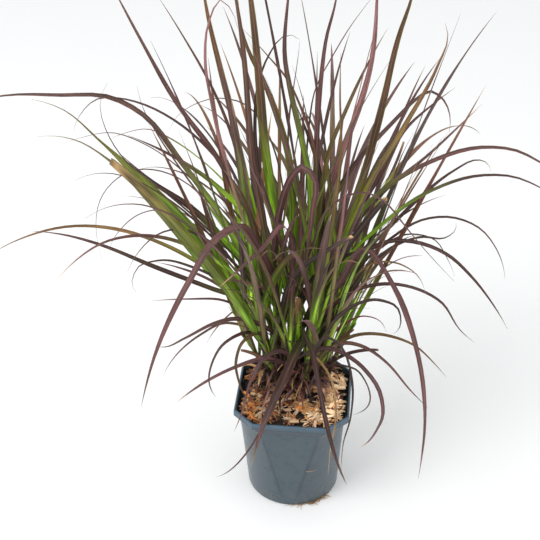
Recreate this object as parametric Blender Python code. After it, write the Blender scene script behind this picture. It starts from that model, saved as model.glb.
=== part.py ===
"""Potted purple fountain grass: a nursery pot, its potting mix and chip mulch, and its leafy stems.

Metres, +Z up. The origin is the middle of the pot's base, on the surface that it stands on, and the
pot's front faces -Y.
"""

import math
import random

import bmesh
import bpy
import numpy as np
from mathutils import Vector
from mathutils.bvhtree import BVHTree

# Pot: a square with cut corners at its rim, which passes into a round base.
POT_HEIGHT = 0.150
RIM_WIDTH = 0.150  # across the flats
RIM_CUT = 0.0265  # leg of each cut corner
RIM_BAND = 0.0095  # height of the outer band
RIM_LIP = 0.0030  # thickness of the lip at its top
RIM_BEVEL = 0.0009
STEP_WIDTH = 0.1435  # across the second, smaller step under the band
STEP_BAND = 0.0055
STEP_FLARE = 0.0006  # the step is wider by this at its top
STEP_FILLET = 0.0015  # height of the slope from the plain wall to the step
BODY_WIDTH = 0.1370  # across the flats just under the steps
BODY_ROUNDNESS = 0.12  # 0 is the rim's shape, 1 a circle
BASE_WIDTH = 0.1230
BASE_FLAT = 6.0  # degrees from a side's middle to the end of its last flat stretch
BASE_CHAMFER = 0.0025
WALL = 0.0016
FLOOR = 0.0025
WALL_HEIGHTS = (0.035, 0.070, 0.105)  # rows of facets between the base and the steps
CORNER_STEPS = 6
DRAIN_HOLES = 6
DRAIN_WIDTH = 0.009
DRAIN_RING = 0.043

# Filling: potting mix under a layer of wood chips.
GAP = 0.0003
MIX_GAP = 0.0005  # beside the wall, whose facets lean a little
MIX_TOP = 0.1330
BED_TOP = 0.1372
MOUND = 0.0055  # the bed rises by this around the stems
MOUND_WIDTH = 0.086
CHIP_PITCH = 0.0134
CHIP_LENGTH = (0.015, 0.027)
CHIP_WIDTH = (0.007, 0.011)
CHIP_RISE = (0.0010, 0.0038)  # middle of a flake's top above the bed
CHIP_SUNK = 0.0015
CHIP_TILT = 7.0
CHIP_REACH = 0.0640  # chips keep inside this half width, clear of the wall
CHIP_CORNER = 0.985  # and inside this share of the width between two cut corners
CHIP_TRIALS = 12
CHIP_SEED = 17

# Stems: a clump of upright shoots, taller and straighter towards its middle.
STEMS = 26
CLUMP_MIDDLE = (0.003, 0.035)  # behind the middle of the pot
CLUMP_RADII = (0.041, 0.024)
GOLDEN_ANGLE = math.radians(137.508)
STEM_HEIGHT = (0.165, 0.095)  # above the mix, in the clump's middle and at its edge
STEM_LEAN = (2.0, 22.0)  # degrees at the top, in the middle and at the edge
STEM_WIDTH = (0.0046, 0.0060, 0.0036)  # at the foot, above the mulch and at the top
STEM_WAISTS = (0.12, 0.26, 1.0)  # the shares of its height where it has these widths
STEM_SIDES = 5
STEM_DEPTH = 0.036
HOLE_CLEARANCE = 0.0005
HOLE_SIDES = 6

# Blades: long, narrow, arching leaves with a keel under the midrib.
KEEL = 0.0013
EDGE_LIFT = 0.18  # an edge stands above the midrib by this share of the half width
ROOT_WIDTH = 0.0026
TIP_POWER = 3.4  # a blade keeps its width for longer with a larger power
CUT_TAPER = 0.45  # a cut blade has lost this share of its width at its end
ROUTE_POINTS = 61
BLADES_PER_STEM = 7
CLEARANCE = 0.0011
FREE_FROM = 0.16  # a blade runs clear of its own stem after this share of its length
LOWEST = 0.016
LENGTHS = (0.04, 0.64)  # shortest and longest
REACH = 0.41  # blades stay within this distance of the upright through the origin
SEEN_GAIN = 1.06  # a seen blade is this much wider than it looks, as its channel folds it a little
SEEN_ASIDE = 0.45  # a seen blade's face is turned from the eye by up to this angle, either way
SEEN_TURNS = 7  # places along a seen blade where it is turned to the eye
POT_KEEP_OUT = 0.0795  # half width that blades stay outside of, below the rim
RIM_CLEAR_HEIGHT = 0.1545
HEADING_TRIALS = (0, 5, -5, 10, -10, 16, -16, 22, -22, 30, -30, 38, -38, 46, -46, 54, -54)
STEM_TRIALS = 6
DRAWN_TRIALS = 90
ROOT_STEP = 0.022  # distance from a seen blade's root to its next place, at least
CROWDED = 9  # cost of each blade past the third on a stem, as a distance on the sighting square
LONGER = 0.30  # cost of a longer way down to the stem, along the blade's own line
TURNED_BACK = 1.6  # cost of a stem that lies above the blade's lowest seen place
OUTER_GAIN = 16  # gain of an outer stem on the side that the blade arches to

# Sighting square: the places of blades that are seen from the front are read on an upright square, 540
# mm wide, held before the eye. A sight line through such a place meets its blade's upright plane.
SIGHT_TURN = math.radians(5.5)  # the pot's front is turned from the eye by this
RIGHT = np.array((math.cos(SIGHT_TURN), math.sin(SIGHT_TURN), 0))
BEHIND = np.array((-math.sin(SIGHT_TURN), math.cos(SIGHT_TURN), 0))
UP = np.array((0, 0, 1))
EYE = -0.032 * RIGHT - 1.194 * BEHIND + 1.115 * UP
SIGHT_DIP = math.radians(33)  # the middle sight line looks down by this
SIGHT_AHEAD = math.cos(SIGHT_DIP) * BEHIND - math.sin(SIGHT_DIP) * UP
SIGHT_UPWARD = math.sin(SIGHT_DIP) * BEHIND + math.cos(SIGHT_DIP) * UP
SIGHT_DISTANCE = 1151.0  # millimetres from the eye to the square
SIGHT_MIDDLE = 270.0

# Each blade that is seen: its width in millimetres, its heading in degrees (0 is right, 90 is the back), its
# tint, and its places from tip to root, in millimetres right of and below the square's upper left corner.
SEEN_BLADES = (
    # Upper left
    (7.5, 172, "plum", ((104, -30), (141, 40), (175, 100), (222, 165), (245, 215), (262, 270))),
    (4.4, 200, "russet", ((155, -8), (180, 31), (218, 100), (230, 130), (240, 165), (258, 230))),
    (7.5, 187, "plum",
     ((-40, 107), (0, 96), (60, 95), (110, 97), (140, 112), (180, 160), (222, 218), (262, 285))),
    (3.5, 158, "wine",
     ((73, 132), (82, 112), (97, 99), (118, 98), (140, 103), (180, 124), (222, 165), (250, 215))),
    (13.5, 198, "moss", ((30, 99), (60, 108), (100, 141), (150, 188), (190, 228), (232, 278), (252, 303))),
    (12.5, 166, "silver",
     ((36, 137), (78, 141), (110, 161), (155, 205), (195, 253), (238, 303), (258, 332))),
    (9.4, 176, "plum", ((122, 155), (150, 180), (190, 207), (230, 247), (258, 285))),
    (2.2, 216, "wine",
     ((108, 82), (101, 96), (101, 115), (106, 130), (125, 160), (150, 180), (200, 222), (250, 275))),
    (2.6, 148, "plum",
     ((107, 141), (125, 133), (153, 130), (168, 137), (190, 151), (232, 190), (262, 238))),
    (6.9, 186, "plum", ((127, 135), (155, 147), (200, 173), (250, 218), (272, 242), (285, 265))),
    (2.9, 138, "plum", ((137, 85), (143, 108), (156, 132), (180, 168), (215, 215), (258, 275))),
    (2.0, 130, "wine", ((60, 145), (80, 138), (115, 133), (150, 147), (200, 187), (250, 242))),
    (2.6, 212, "plum", ((74, 181), (85, 176), (105, 173), (130, 178), (165, 197), (210, 235), (255, 290))),
    (2.9, 154, "plum", ((140, 169), (155, 167), (185, 174), (235, 212), (265, 255))),
    (2.2, 164, "plum",
     ((169, 131), (175, 119), (200, 102), (218, 98), (248, 106), (262, 122), (275, 152), (285, 200))),
    (2.2, 150, "plum", ((120, 196), (151, 200), (185, 214), (225, 245), (258, 285))),
    # Left
    (5.2, 178, "olive", ((-12, 256), (20, 239), (75, 226), (110, 228), (165, 245), (200, 264), (262, 322))),
    (6.2, 193, "wine", ((30, 231), (65, 235), (95, 243), (155, 267), (210, 288), (255, 305), (275, 325))),
    (5.0, 216, "plum",
     ((55, 282), (75, 261), (100, 244), (130, 236), (160, 237), (190, 246), (225, 267), (262, 302))),
    (2.2, 146, "plum",
     ((108, 256), (112, 242), (120, 230), (142, 213), (155, 210), (190, 222), (235, 257), (265, 295))),
    (3.3, 221, "wine",
     ((127, 273), (140, 250), (155, 236), (178, 229), (200, 236), (235, 264), (265, 300))),
    (3.5, 226, "plum",
     ((137, 293), (132, 280), (138, 267), (155, 261), (195, 268), (235, 292), (262, 325))),
    (4.5, 160, "wine", ((155, 262), (180, 268), (210, 280), (240, 302), (262, 335))),
    (3.3, 202, "plum", ((150, 301), (190, 299), (222, 300), (255, 320), (272, 345))),
    (1.8, 134, "plum",
     ((103, 262), (96, 230), (99, 203), (113, 182), (135, 170), (170, 174), (215, 207), (258, 262))),
    (2.6, 232, "plum", ((84, 219), (105, 208), (135, 204), (165, 212), (210, 243), (255, 295))),
    # Middle, rising
    (9.5, 152, "green", ((199, -46), (205, 0), (222, 75), (231, 110), (238, 145), (247, 185), (262, 250))),
    (5.0, 190, "pink",
     ((238, 30), (230, 8), (221, -2), (210, 18), (205, 60), (212, 105), (228, 170), (248, 235))),
    (8.8, 202, "russet", ((222, -62), (236, 0), (245, 70), (248, 110), (251, 150), (262, 215))),
    (10.0, 168, "olive", ((238, -4), (248, 50), (262, 78), (280, 125), (287, 150), (293, 200))),
    (12.0, 212, "green", ((240, -72), (251, 0), (259, 75), (265, 145), (275, 215), (284, 262))),
    (5.0, 22, "night",
     ((300, 40), (292, 35), (282, 37), (270, 53), (258, 85), (255, 120), (258, 170), (270, 250))),
    (3.3, 332, "plum", ((300, 40), (297, 65), (294, 85), (290, 110), (288, 160), (290, 215))),
    (7.5, 206, "plum", ((294, -48), (288, 0), (285, 60), (290, 88), (303, 145), (309, 175), (311, 225))),
    (4.4, 158, "russet", ((241, 27), (268, 56), (288, 80), (300, 105), (312, 138), (316, 190), (314, 238))),
    (2.4, 186, "plum", ((292, 65), (303, 100), (311, 138), (318, 195), (316, 240))),
    (7.5, 150, "night", ((294, 100), (306, 130), (318, 165), (322, 200), (319, 250))),
    (2.4, 32, "plum",
     ((384, -18), (370, 0), (350, 27), (332, 57), (316, 87), (309, 125), (306, 190), (304, 245))),
    (6.2, 338, "plum", ((342, -36), (335, 5), (326, 40), (321, 80), (318, 120), (315, 180), (311, 235))),
    (5.0, 312, "olive", ((341, 52), (340, 100), (341, 140), (339, 175), (330, 240))),
    (6.2, 16, "olive", ((388, 28), (362, 75), (345, 112), (330, 148), (322, 190), (316, 240))),
    (8.8, 350, "pink", ((377, -52), (377, 0), (371, 65), (360, 105), (345, 145), (333, 180), (320, 240))),
    (10.5, 8, "green", ((420, -42), (411, 0), (400, 32), (381, 110), (362, 180), (340, 240), (326, 285))),
    # Upper right
    (7.5, 336, "olive", ((445, 22), (448, 36), (438, 65), (405, 125), (370, 183), (345, 235), (330, 278))),
    (6.2, 30, "plum",
     ((449, 133), (450, 116), (441, 97), (429, 91), (415, 100), (395, 120), (345, 178), (325, 218))),
    (6.2, 356, "plum", ((456, 87), (432, 105), (410, 124), (377, 180), (345, 230), (328, 265))),
    (2.9, 25, "wine", ((414, 132), (400, 160), (391, 190), (382, 218), (362, 255), (335, 300))),
    (5.6, 6, "wine", ((483, 103), (455, 130), (428, 155), (385, 190), (355, 225), (332, 268))),
    (6.2, 344, "plum",
     ((577, 186), (545, 165), (515, 150), (485, 147), (425, 164), (390, 184), (350, 225), (328, 268))),
    (5.6, 20, "plum",
     ((491, 172), (484, 161), (475, 160), (455, 170), (415, 202), (395, 222), (355, 264), (330, 300))),
    (4.5, 331, "plum",
     ((574, 209), (545, 190), (515, 177), (485, 175), (428, 192), (380, 226), (345, 262), (328, 298))),
    (6.9, 42, "night", ((370, 180), (355, 205), (325, 248), (308, 290))),
    # Right
    (2.9, 40, "wine", ((446, 195), (422, 204), (400, 217), (365, 247), (335, 292))),
    (3.3, 351, "plum",
     ((505, 280), (497, 250), (478, 227), (450, 217), (425, 219), (390, 239), (355, 273), (333, 312))),
    (5.0, 14, "night",
     ((456, 222), (454, 232), (447, 237), (420, 237), (398, 244), (376, 259), (350, 286), (330, 322))),
    (2.4, 340, "wine", ((455, 277), (447, 258), (435, 240), (410, 234), (378, 250), (342, 288))),
    (2.9, 326, "pink",
     ((455, 282), (425, 250), (405, 226), (385, 202), (368, 193), (345, 197), (325, 213), (313, 245))),
    (5.0, 355, "plum",
     ((508, 330), (490, 300), (470, 275), (448, 255), (420, 243), (390, 241), (350, 266), (325, 315))),
    (2.9, 330, "olive", ((425, 293), (418, 276), (400, 264), (378, 262), (350, 282), (328, 318))),
    (7.5, 318, "plum",
     ((418, 480), (422, 455), (425, 425), (417, 350), (395, 288), (368, 249), (340, 282), (308, 330))),
    (4.5, 345, "plum",
     ((475, 343), (461, 331), (440, 301), (425, 292), (395, 284), (368, 286), (340, 300), (318, 332))),
    (5.0, 309, "night",
     ((393, 334), (401, 320), (399, 310), (380, 300), (362, 302), (340, 315), (318, 345))),
    (3.3, 335, "red", ((386, 332), (380, 321), (365, 316), (347, 322), (333, 333), (316, 355))),
    (4.4, 327, "olive",
     ((447, 378), (433, 362), (417, 347), (390, 336), (362, 334), (335, 345), (316, 364))),
    (5.0, 313, "plum",
     ((428, 408), (410, 390), (388, 364), (368, 349), (345, 343), (328, 350), (313, 366))),
    (5.6, 301, "wine",
     ((359, 448), (376, 431), (383, 410), (379, 390), (365, 370), (346, 355), (325, 348), (311, 362))),
    (2.6, 304, "wine", ((352, 415), (368, 387), (360, 373), (345, 366), (325, 366), (311, 374))),
    (3.1, 296, "night",
     ((341, 475), (343, 445), (351, 415), (352, 380), (345, 352), (330, 338), (314, 348))),
    (13.0, 322, "night", ((370, 265), (352, 290), (335, 318), (325, 337), (312, 358))),
    # Front and low
    (8.8, 219, "plum",
     ((141, 408), (145, 390), (155, 355), (190, 280), (218, 237), (240, 226), (258, 246), (278, 305))),
    (8.8, 226, "plum", ((218, 288), (245, 264), (265, 245), (281, 225), (291, 236), (292, 268))),
    (8.8, 324, "plum",
     ((320, 303), (311, 288), (312, 215), (313, 176), (303, 166), (295, 172), (284, 195), (273, 262))),
    (4.5, 206, "pink", ((212, 281), (240, 281), (268, 291), (285, 312))),
    (5.0, 231, "wine", ((234, 432), (242, 412), (251, 380), (262, 360), (280, 351), (290, 364))),
    (5.6, 206, "plum", ((176, 403), (205, 382), (235, 367), (260, 359), (282, 366))),
    (4.5, 226, "olive", ((246, 398), (238, 378), (236, 362), (242, 343), (254, 334), (274, 348))),
    (4.4, 211, "plum", ((216, 397), (210, 370), (220, 348), (238, 335), (258, 334), (277, 352))),
    (5.6, 196, "plum",
     ((155, 346), (165, 347), (185, 338), (215, 323), (230, 319), (262, 325), (280, 342))),
    (3.3, 181, "plum", ((163, 376), (178, 353), (200, 335), (225, 323), (255, 331), (278, 352))),
    (2.9, 165, "olive", ((207, 343), (220, 324), (237, 310), (258, 312), (277, 337))),
    (3.3, 200, "straw", ((225, 324), (242, 326), (266, 340), (282, 357))),
    (11.9, 238, "wine", ((251, 467), (260, 435), (272, 405), (286, 375), (296, 352), (303, 340))),
    (2.6, 233, "plum", ((216, 477), (235, 466), (252, 445), (270, 410), (283, 374), (293, 353))),
    (6.2, 292, "wine", ((347, 485), (332, 445), (324, 412), (318, 380), (313, 354), (308, 342))),
    (2.4, 286, "straw", ((328, 475), (331, 445), (336, 415), (333, 385), (322, 364), (312, 358))),
)

# Blades that end cut or torn off, in the same form.
CUT_BLADES = (
    (13.0, 205, "moss", ((110, 160), (150, 196), (190, 240), (230, 290), (258, 332))),
    (5.0, 45, "wine", ((404, 141), (392, 172), (370, 212), (340, 265))),
    (6.9, 319, "night", ((353, 236), (325, 252), (304, 266), (287, 290), (281, 315))),
    (5.0, 334, "night", ((362, 250), (340, 259), (315, 276), (300, 302), (295, 338))),
    (9.4, 331, "night", ((387, 197), (365, 223), (345, 249), (325, 279), (311, 310))),
    (5.6, 312, "green", ((354, 329), (338, 341), (320, 360))),
    (5.0, 350, "plum", ((379, 350), (342, 356), (316, 370))),
    (5.6, 190, "green", ((240, 350), (262, 358), (281, 370))),
)

# Blades that the front view doesn't tell apart are drawn by rule, in these ranges.
DRAWN_SEED = 43
DRAWN_WIDTH = (0.0055, 0.0110)
DRAWN_LENGTH = (0.230, 0.480)
DRAWN_LEAN = (7.0, 24.0)  # degrees from upright at the root
DRAWN_KINDS = (  # share of them, heading, and degrees from upright at the tip
    (0.38, (48.0, 132.0), (50.0, 128.0)),
    (0.30, (236.0, 304.0), (28.0, 74.0)),
    (0.32, (0.0, 360.0), (8.0, 30.0)),
)
DRAWN_TINTS = ("plum", "wine", "russet", "olive", "green", "plum", "pink")

POT_COLOUR = (0.098, 0.141, 0.165)
POT_ROUGHNESS = 0.5
MIX_COLOUR = (0.017, 0.011, 0.008)
MIX_ROUGHNESS = 0.95
CHIP_COLOUR = (0.445, 0.270, 0.120)
CHIP_ROUGHNESS = 0.85
LEAF_ROUGHNESS = 0.55
LEAF_COLOURS = {
    "plum": (0.120, 0.048, 0.054),
    "wine": (0.085, 0.033, 0.038),
    "night": (0.040, 0.022, 0.026),
    "russet": (0.170, 0.068, 0.046),
    "olive": (0.135, 0.090, 0.032),
    "moss": (0.150, 0.170, 0.030),
    "green": (0.180, 0.300, 0.024),
    "silver": (0.200, 0.230, 0.090),
    "straw": (0.480, 0.330, 0.160),
    "pink": (0.250, 0.105, 0.110),
    "red": (0.230, 0.028, 0.034),
}


def clear_scene():
    for thing in list(bpy.context.scene.objects):
        bpy.data.objects.remove(thing, do_unlink=True)


def new_collection(name):
    group = bpy.data.collections.new(name)
    bpy.context.scene.collection.children.link(group)
    return group


def new_object(name, vertices, faces, group):
    mesh = bpy.data.meshes.new(name)
    mesh.from_pydata([tuple(v) for v in vertices], [], [tuple(f) for f in faces])
    mesh.update()
    thing = bpy.data.objects.new(name, mesh)
    group.objects.link(thing)
    return thing


def finish(thing, colour, roughness):
    """Gives the object a material of its own, and smooth shading with crisp edges."""
    material = bpy.data.materials.new(thing.name)
    material.use_nodes = True
    shader = material.node_tree.nodes["Principled BSDF"]
    shader.inputs["Base Color"].default_value = (*colour, 1)
    shader.inputs["Roughness"].default_value = roughness
    shader.inputs["Metallic"].default_value = 0
    thing.data.materials.clear()
    thing.data.materials.append(material)
    thing.data.shade_smooth()
    thing.data.set_sharp_from_angle(angle=math.radians(35))


def loft(rings, bottom_cap=True, top_cap=True):
    """Joins rings with the same number of points by rows of quads, and closes the ends with flat caps.

    Each ring runs anticlockwise seen from the end that the rings go towards.
    """
    rings = np.asarray(rings)
    rows, sides = rings.shape[:2]
    faces = []
    for row in range(rows - 1):
        for side in range(sides):
            a, b = row * sides + side, row * sides + (side + 1) % sides
            faces.append((a, b, b + sides, a + sides))
    if bottom_cap:
        faces.append(tuple(range(sides - 1, -1, -1)))
    if top_cap:
        faces.append(tuple(range((rows - 1) * sides, rows * sides)))
    return rings.reshape(-1, 3), faces


def level_ring(height, width, roundness):
    """A level ring between the rim's shape, a square with cut corners, and a circle.

    One corner runs from the end of the flat on +X to the start of the flat on +Y. It is turned a quarter
    three times for the other corners.
    """
    half = width / 2
    flat = half * (1 - 2 * RIM_CUT / RIM_WIDTH)
    share = np.linspace(0, 1, CORNER_STEPS + 1)
    angle = np.radians(BASE_FLAT + (90 - 2 * BASE_FLAT) * share)
    x = (1 - roundness) * (half + (flat - half) * share) + roundness * half * np.cos(angle)
    y = (1 - roundness) * (flat + (half - flat) * share) + roundness * half * np.sin(angle)
    corner = np.column_stack((x, y))
    turned = [corner]
    for _ in range(3):
        corner = np.column_stack((-corner[:, 1], corner[:, 0]))
        turned.append(corner)
    ring = np.vstack(turned)
    return np.column_stack((ring, np.full(len(ring), height)))


def body_shape(height):
    """Width and roundness of the pot's plain outer wall at a height."""
    share = height / (POT_HEIGHT - RIM_BAND - STEP_BAND)
    return BASE_WIDTH + (BODY_WIDTH - BASE_WIDTH) * share, 1 + (BODY_ROUNDNESS - 1) * share


def inner_ring(height, clearance=0.0):
    """The pot's inside at a height, less a clearance all round."""
    ledge = POT_HEIGHT - RIM_BAND - STEP_BAND
    if height <= ledge:
        width, roundness = body_shape(height)
        width -= 2 * WALL
    else:
        share = min(1, (height - ledge) / STEP_BAND)
        top = RIM_WIDTH - 2 * RIM_LIP
        width = BODY_WIDTH - 2 * WALL + (top - BODY_WIDTH + 2 * WALL) * share
        roundness = BODY_ROUNDNESS * (1 - share)
    return level_ring(height, width - 2 * clearance, roundness)


def make_pot(group, cutters):
    """One wall from the base up over the rim and down inside to the floor, which has drain holes."""
    band = POT_HEIGHT - RIM_BAND
    ledge = band - STEP_BAND
    lip = RIM_WIDTH - 2 * RIM_BEVEL
    rings = [
        level_ring(0, BASE_WIDTH - 2 * BASE_CHAMFER, 1),
        level_ring(BASE_CHAMFER, *body_shape(BASE_CHAMFER)),
        *(level_ring(height, *body_shape(height)) for height in WALL_HEIGHTS),
        level_ring(ledge - STEP_FILLET, *body_shape(ledge - STEP_FILLET)),
        level_ring(ledge, STEP_WIDTH, BODY_ROUNDNESS / 2),
        level_ring(band - RIM_BEVEL, STEP_WIDTH + STEP_FLARE, 0),
        level_ring(band, lip, 0),
        level_ring(band + RIM_BEVEL, RIM_WIDTH, 0),
        level_ring(POT_HEIGHT - RIM_BEVEL, RIM_WIDTH, 0),
        level_ring(POT_HEIGHT, lip, 0),
        level_ring(POT_HEIGHT, lip - 2 * (RIM_LIP - 2 * RIM_BEVEL), 0),
        inner_ring(POT_HEIGHT - RIM_BEVEL),
        inner_ring(band),
        inner_ring(ledge),
        *(inner_ring(height) for height in reversed(WALL_HEIGHTS)),
        inner_ring(FLOOR),
    ]
    pot = new_object("pot", *loft(rings), group)
    for hole in range(DRAIN_HOLES):
        angle = 2 * math.pi * (hole + 0.5) / DRAIN_HOLES
        place = (DRAIN_RING * math.cos(angle), DRAIN_RING * math.sin(angle), FLOOR / 2)
        cutters.objects.link(peg(f"drain_cutter_{hole}", DRAIN_WIDTH / 2, FLOOR * 3, 8, place))
    cut = pot.modifiers.new("drain holes", "BOOLEAN")
    cut.operation = "DIFFERENCE"
    cut.operand_type = "COLLECTION"
    cut.collection = cutters
    finish(pot, POT_COLOUR, POT_ROUGHNESS)
    return pot


def peg(name, radius, height, sides, place):
    """An upright cylinder that serves as a cutter."""
    shape = bmesh.new()
    bmesh.ops.create_cone(
        shape, cap_ends=True, segments=sides, radius1=radius, radius2=radius, depth=height
    )
    mesh = bpy.data.meshes.new(name)
    shape.to_mesh(mesh)
    shape.free()
    thing = bpy.data.objects.new(name, mesh)
    thing.location = place
    thing.hide_render = True
    thing.display_type = "WIRE"
    return thing


def sight_lines(places):
    """Directions from the eye through places on the square, each one long along the middle line."""
    across, down = ((np.asarray(places, float) - SIGHT_MIDDLE) / SIGHT_DISTANCE).T
    return SIGHT_AHEAD + across[:, None] * RIGHT - down[:, None] * SIGHT_UPWARD


def seen_places(points):
    """Where points in space are seen on the sighting square."""
    lines = np.asarray(points) - EYE
    seen = np.column_stack((lines @ RIGHT, -lines @ SIGHT_UPWARD))
    return SIGHT_MIDDLE + SIGHT_DISTANCE * seen / (lines @ SIGHT_AHEAD)[:, None]


def even_curve(points, count):
    """Evenly spaced places on a smooth curve through the points.

    Between two points the curve is a cubic. Its slope at a point is that of the parabola through the point
    and its two neighbours, over the distance travelled.
    """
    points = np.asarray(points)
    gaps = np.linalg.norm(np.diff(points, axis=0), axis=1)[:, None]
    slopes = np.diff(points, axis=0) / gaps
    inner = (slopes[:-1] * gaps[1:] + slopes[1:] * gaps[:-1]) / (gaps[:-1] + gaps[1:])
    slopes = np.vstack((2 * slopes[0] - inner[0], inner, 2 * slopes[-1] - inner[-1]))
    t = np.linspace(0, 1, 12, endpoint=False)[None, :, None]
    start, end = points[:-1, None], points[1:, None]
    leave, arrive = (slopes[:-1] * gaps)[:, None], (slopes[1:] * gaps)[:, None]
    fine = (
        start * (2 * t**3 - 3 * t**2 + 1)
        + leave * (t**3 - 2 * t**2 + t)
        + end * (3 * t**2 - 2 * t**3)
        + arrive * (t**3 - t**2)
    ).reshape(-1, 3)
    fine = np.vstack((fine, points[-1]))
    travelled = np.concatenate(([0], np.cumsum(np.linalg.norm(np.diff(fine, axis=0), axis=1))))
    even = np.linspace(0, travelled[-1], count)
    return np.column_stack([np.interp(even, travelled, fine[:, axis]) for axis in range(3)])


class Stem:
    """An upright shoot: straight in the mix, then leaning further out as it rises."""

    def __init__(self, number):
        share = math.sqrt((number + 0.5) / STEMS)
        turn = number * GOLDEN_ANGLE
        self.outward = np.array((math.cos(turn), math.sin(turn), 0))
        self.base = np.array((*CLUMP_MIDDLE, MIX_TOP)) + share * self.outward * (*CLUMP_RADII, 0)
        self.height = STEM_HEIGHT[0] + (STEM_HEIGHT[1] - STEM_HEIGHT[0]) * share
        lean = STEM_LEAN[0] + (STEM_LEAN[1] - STEM_LEAN[0]) * share
        self.spread = math.tan(math.radians(lean)) / 2
        self.share = share
        self.blades = []
        rows = np.array((-STEM_DEPTH / self.height, *STEM_WAISTS[:2], 0.36, 0.66, 0.98, 1.0))
        widths = np.interp(rows, STEM_WAISTS, STEM_WIDTH)
        widths[-1] *= 0.4
        turns = np.arange(STEM_SIDES) * 2 * math.pi / STEM_SIDES
        circle = np.column_stack((np.cos(turns), np.sin(turns), np.zeros(STEM_SIDES)))
        self.shape = loft(self.places(rows)[:, None] + circle * widths[:, None, None] / 2)
        self.trees = [BVHTree.FromPolygons(self.shape[0].tolist(), self.shape[1])]

    def places(self, share):
        """Points of the middle line at shares of the height. Under the mix it runs straight on."""
        share = np.asarray(share, float)
        out = self.spread * (share + np.maximum(share, 0) ** 2)
        return self.base + self.height * (share[:, None] * (0, 0, 1) + out[:, None] * self.outward)


class Blade:
    """A leaf blade: its midrib's curve, heading, width, tint, and how it rolls from root to tip."""

    def __init__(self, route, heading, width, rolls, tint, cut=False):
        self.route = even_curve(route, ROUTE_POINTS)
        self.across = np.array((-math.sin(heading), math.cos(heading), 0))
        self.width = width
        self.rolls = rolls
        self.tint = tint
        self.cut = cut
        steps = np.diff(self.route, axis=0)
        self.length = np.linalg.norm(steps, axis=1).sum()
        steps /= np.linalg.norm(steps, axis=1)[:, None]
        bends = np.arccos(np.clip((steps[1:] * steps[:-1]).sum(axis=1), -1, 1))
        self.rows = int(np.clip(round(4 + bends.sum() / 0.55 + self.length / 0.22), 5, 11))
        if width < 0.0028:
            self.rows = max(5, self.rows - 1)

    def face_the_eye(self, aside):
        """Rolls the blade, all along its length, to face the eye but for a small angle."""
        at = np.linspace(0, ROUTE_POINTS - 1, SEEN_TURNS).astype(int)
        ahead = np.gradient(self.route, axis=0)[at]
        upper = np.cross(ahead, self.across)
        upper /= np.linalg.norm(upper, axis=1)[:, None]
        sight = EYE - self.route[at]
        turns = np.arctan2(-(sight @ self.across), (sight * upper).sum(axis=1))
        turns = np.unwrap(turns, period=math.pi)
        self.rolls = turns - math.pi * round(turns.mean() / math.pi) + aside

    def turned(self, s):
        """How far the blade has rolled about its midrib at shares of its length."""
        return np.interp(s, np.linspace(0, 1, len(self.rolls)), self.rolls)

    def sections(self, rows, swell=0.0):
        """Rings of three points: left edge, right edge and keel. A pointed tip is left off.

        The width grows from the root over the first fifth, and falls towards the tip as 1 - s^3.4.
        """
        s = np.linspace(0, 1, rows + 1)
        if not self.cut:
            s = s[:-1]
        at = s * (ROUTE_POINTS - 1)
        middle = np.column_stack([np.interp(at, np.arange(ROUTE_POINTS), axis) for axis in self.route.T])
        slope = np.gradient(self.route, axis=0)
        ahead = np.column_stack([np.interp(at, np.arange(ROUTE_POINTS), axis) for axis in slope.T])
        ahead /= np.linalg.norm(ahead, axis=1)[:, None]
        upper = np.cross(ahead, self.across)
        upper /= np.linalg.norm(upper, axis=1)[:, None]
        turn = self.turned(s)[:, None]
        side = self.across * np.cos(turn) + upper * np.sin(turn)
        face = upper * np.cos(turn) - self.across * np.sin(turn)
        grown = np.minimum(1, s / 0.2)
        taper = 1 - (CUT_TAPER if self.cut else 1) * s**TIP_POWER
        half = (ROOT_WIDTH + (self.width - ROOT_WIDTH) * grown * (2 - grown)) * taper / 2 + swell
        lift = half * EDGE_LIFT
        half, lift = half[:, None], lift[:, None]
        return np.stack(
            (
                middle - side * half + face * (lift + swell),
                middle - face * (KEEL + swell),
                middle + side * half + face * (lift + swell),
            ),
            axis=1,
        )

    def shape(self, swell=0.0, start=0):
        """Vertices and faces, with a flat root and either a point or a flat cut at the tip."""
        rings = self.sections(self.rows, swell)[start:]
        vertices, faces = loft(rings, top_cap=self.cut)
        if not self.cut:
            last, tip = len(vertices) - 3, len(vertices)
            vertices = np.vstack((vertices, self.route[-1]))
            faces += [(last, last + 1, tip), (last + 1, last + 2, tip), (last + 2, last, tip)]
        return vertices, faces

    def keeps_clear_of_pot(self):
        """True if the blade stays off the ground, outside the pot's wall and above its rim."""
        free = self.route[3:]
        if free[:, 2].min() < LOWEST or not LENGTHS[0] < self.length < LENGTHS[1]:
            return False
        if np.hypot(free[:, 0], free[:, 1]).max() > REACH:
            return False
        low = free[free[:, 2] < RIM_CLEAR_HEIGHT]
        return bool((np.abs(low[:, :2]).max(axis=1) > POT_KEEP_OUT).all())


def tree_of(shape):
    vertices, faces = shape
    return BVHTree.FromPolygons(vertices.tolist(), faces)


def stands_clear(blade, stem, stems):
    """True if the blade, made a little thicker, meets no other stem, and none of its own past its root."""
    if not blade.keeps_clear_of_pot():
        return False
    whole = tree_of(blade.shape(CLEARANCE))
    for other in stems:
        if other is not stem and any(whole.overlap(tree) for tree in other.trees):
            return False
    free = tree_of(blade.shape(CLEARANCE / 2, start=1 + int(FREE_FROM * blade.rows)))
    return not any(free.overlap(tree) for tree in stem.trees)


def add_blade(blade, stem):
    stem.blades.append(blade)
    stem.trees.append(tree_of(blade.shape()))


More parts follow.
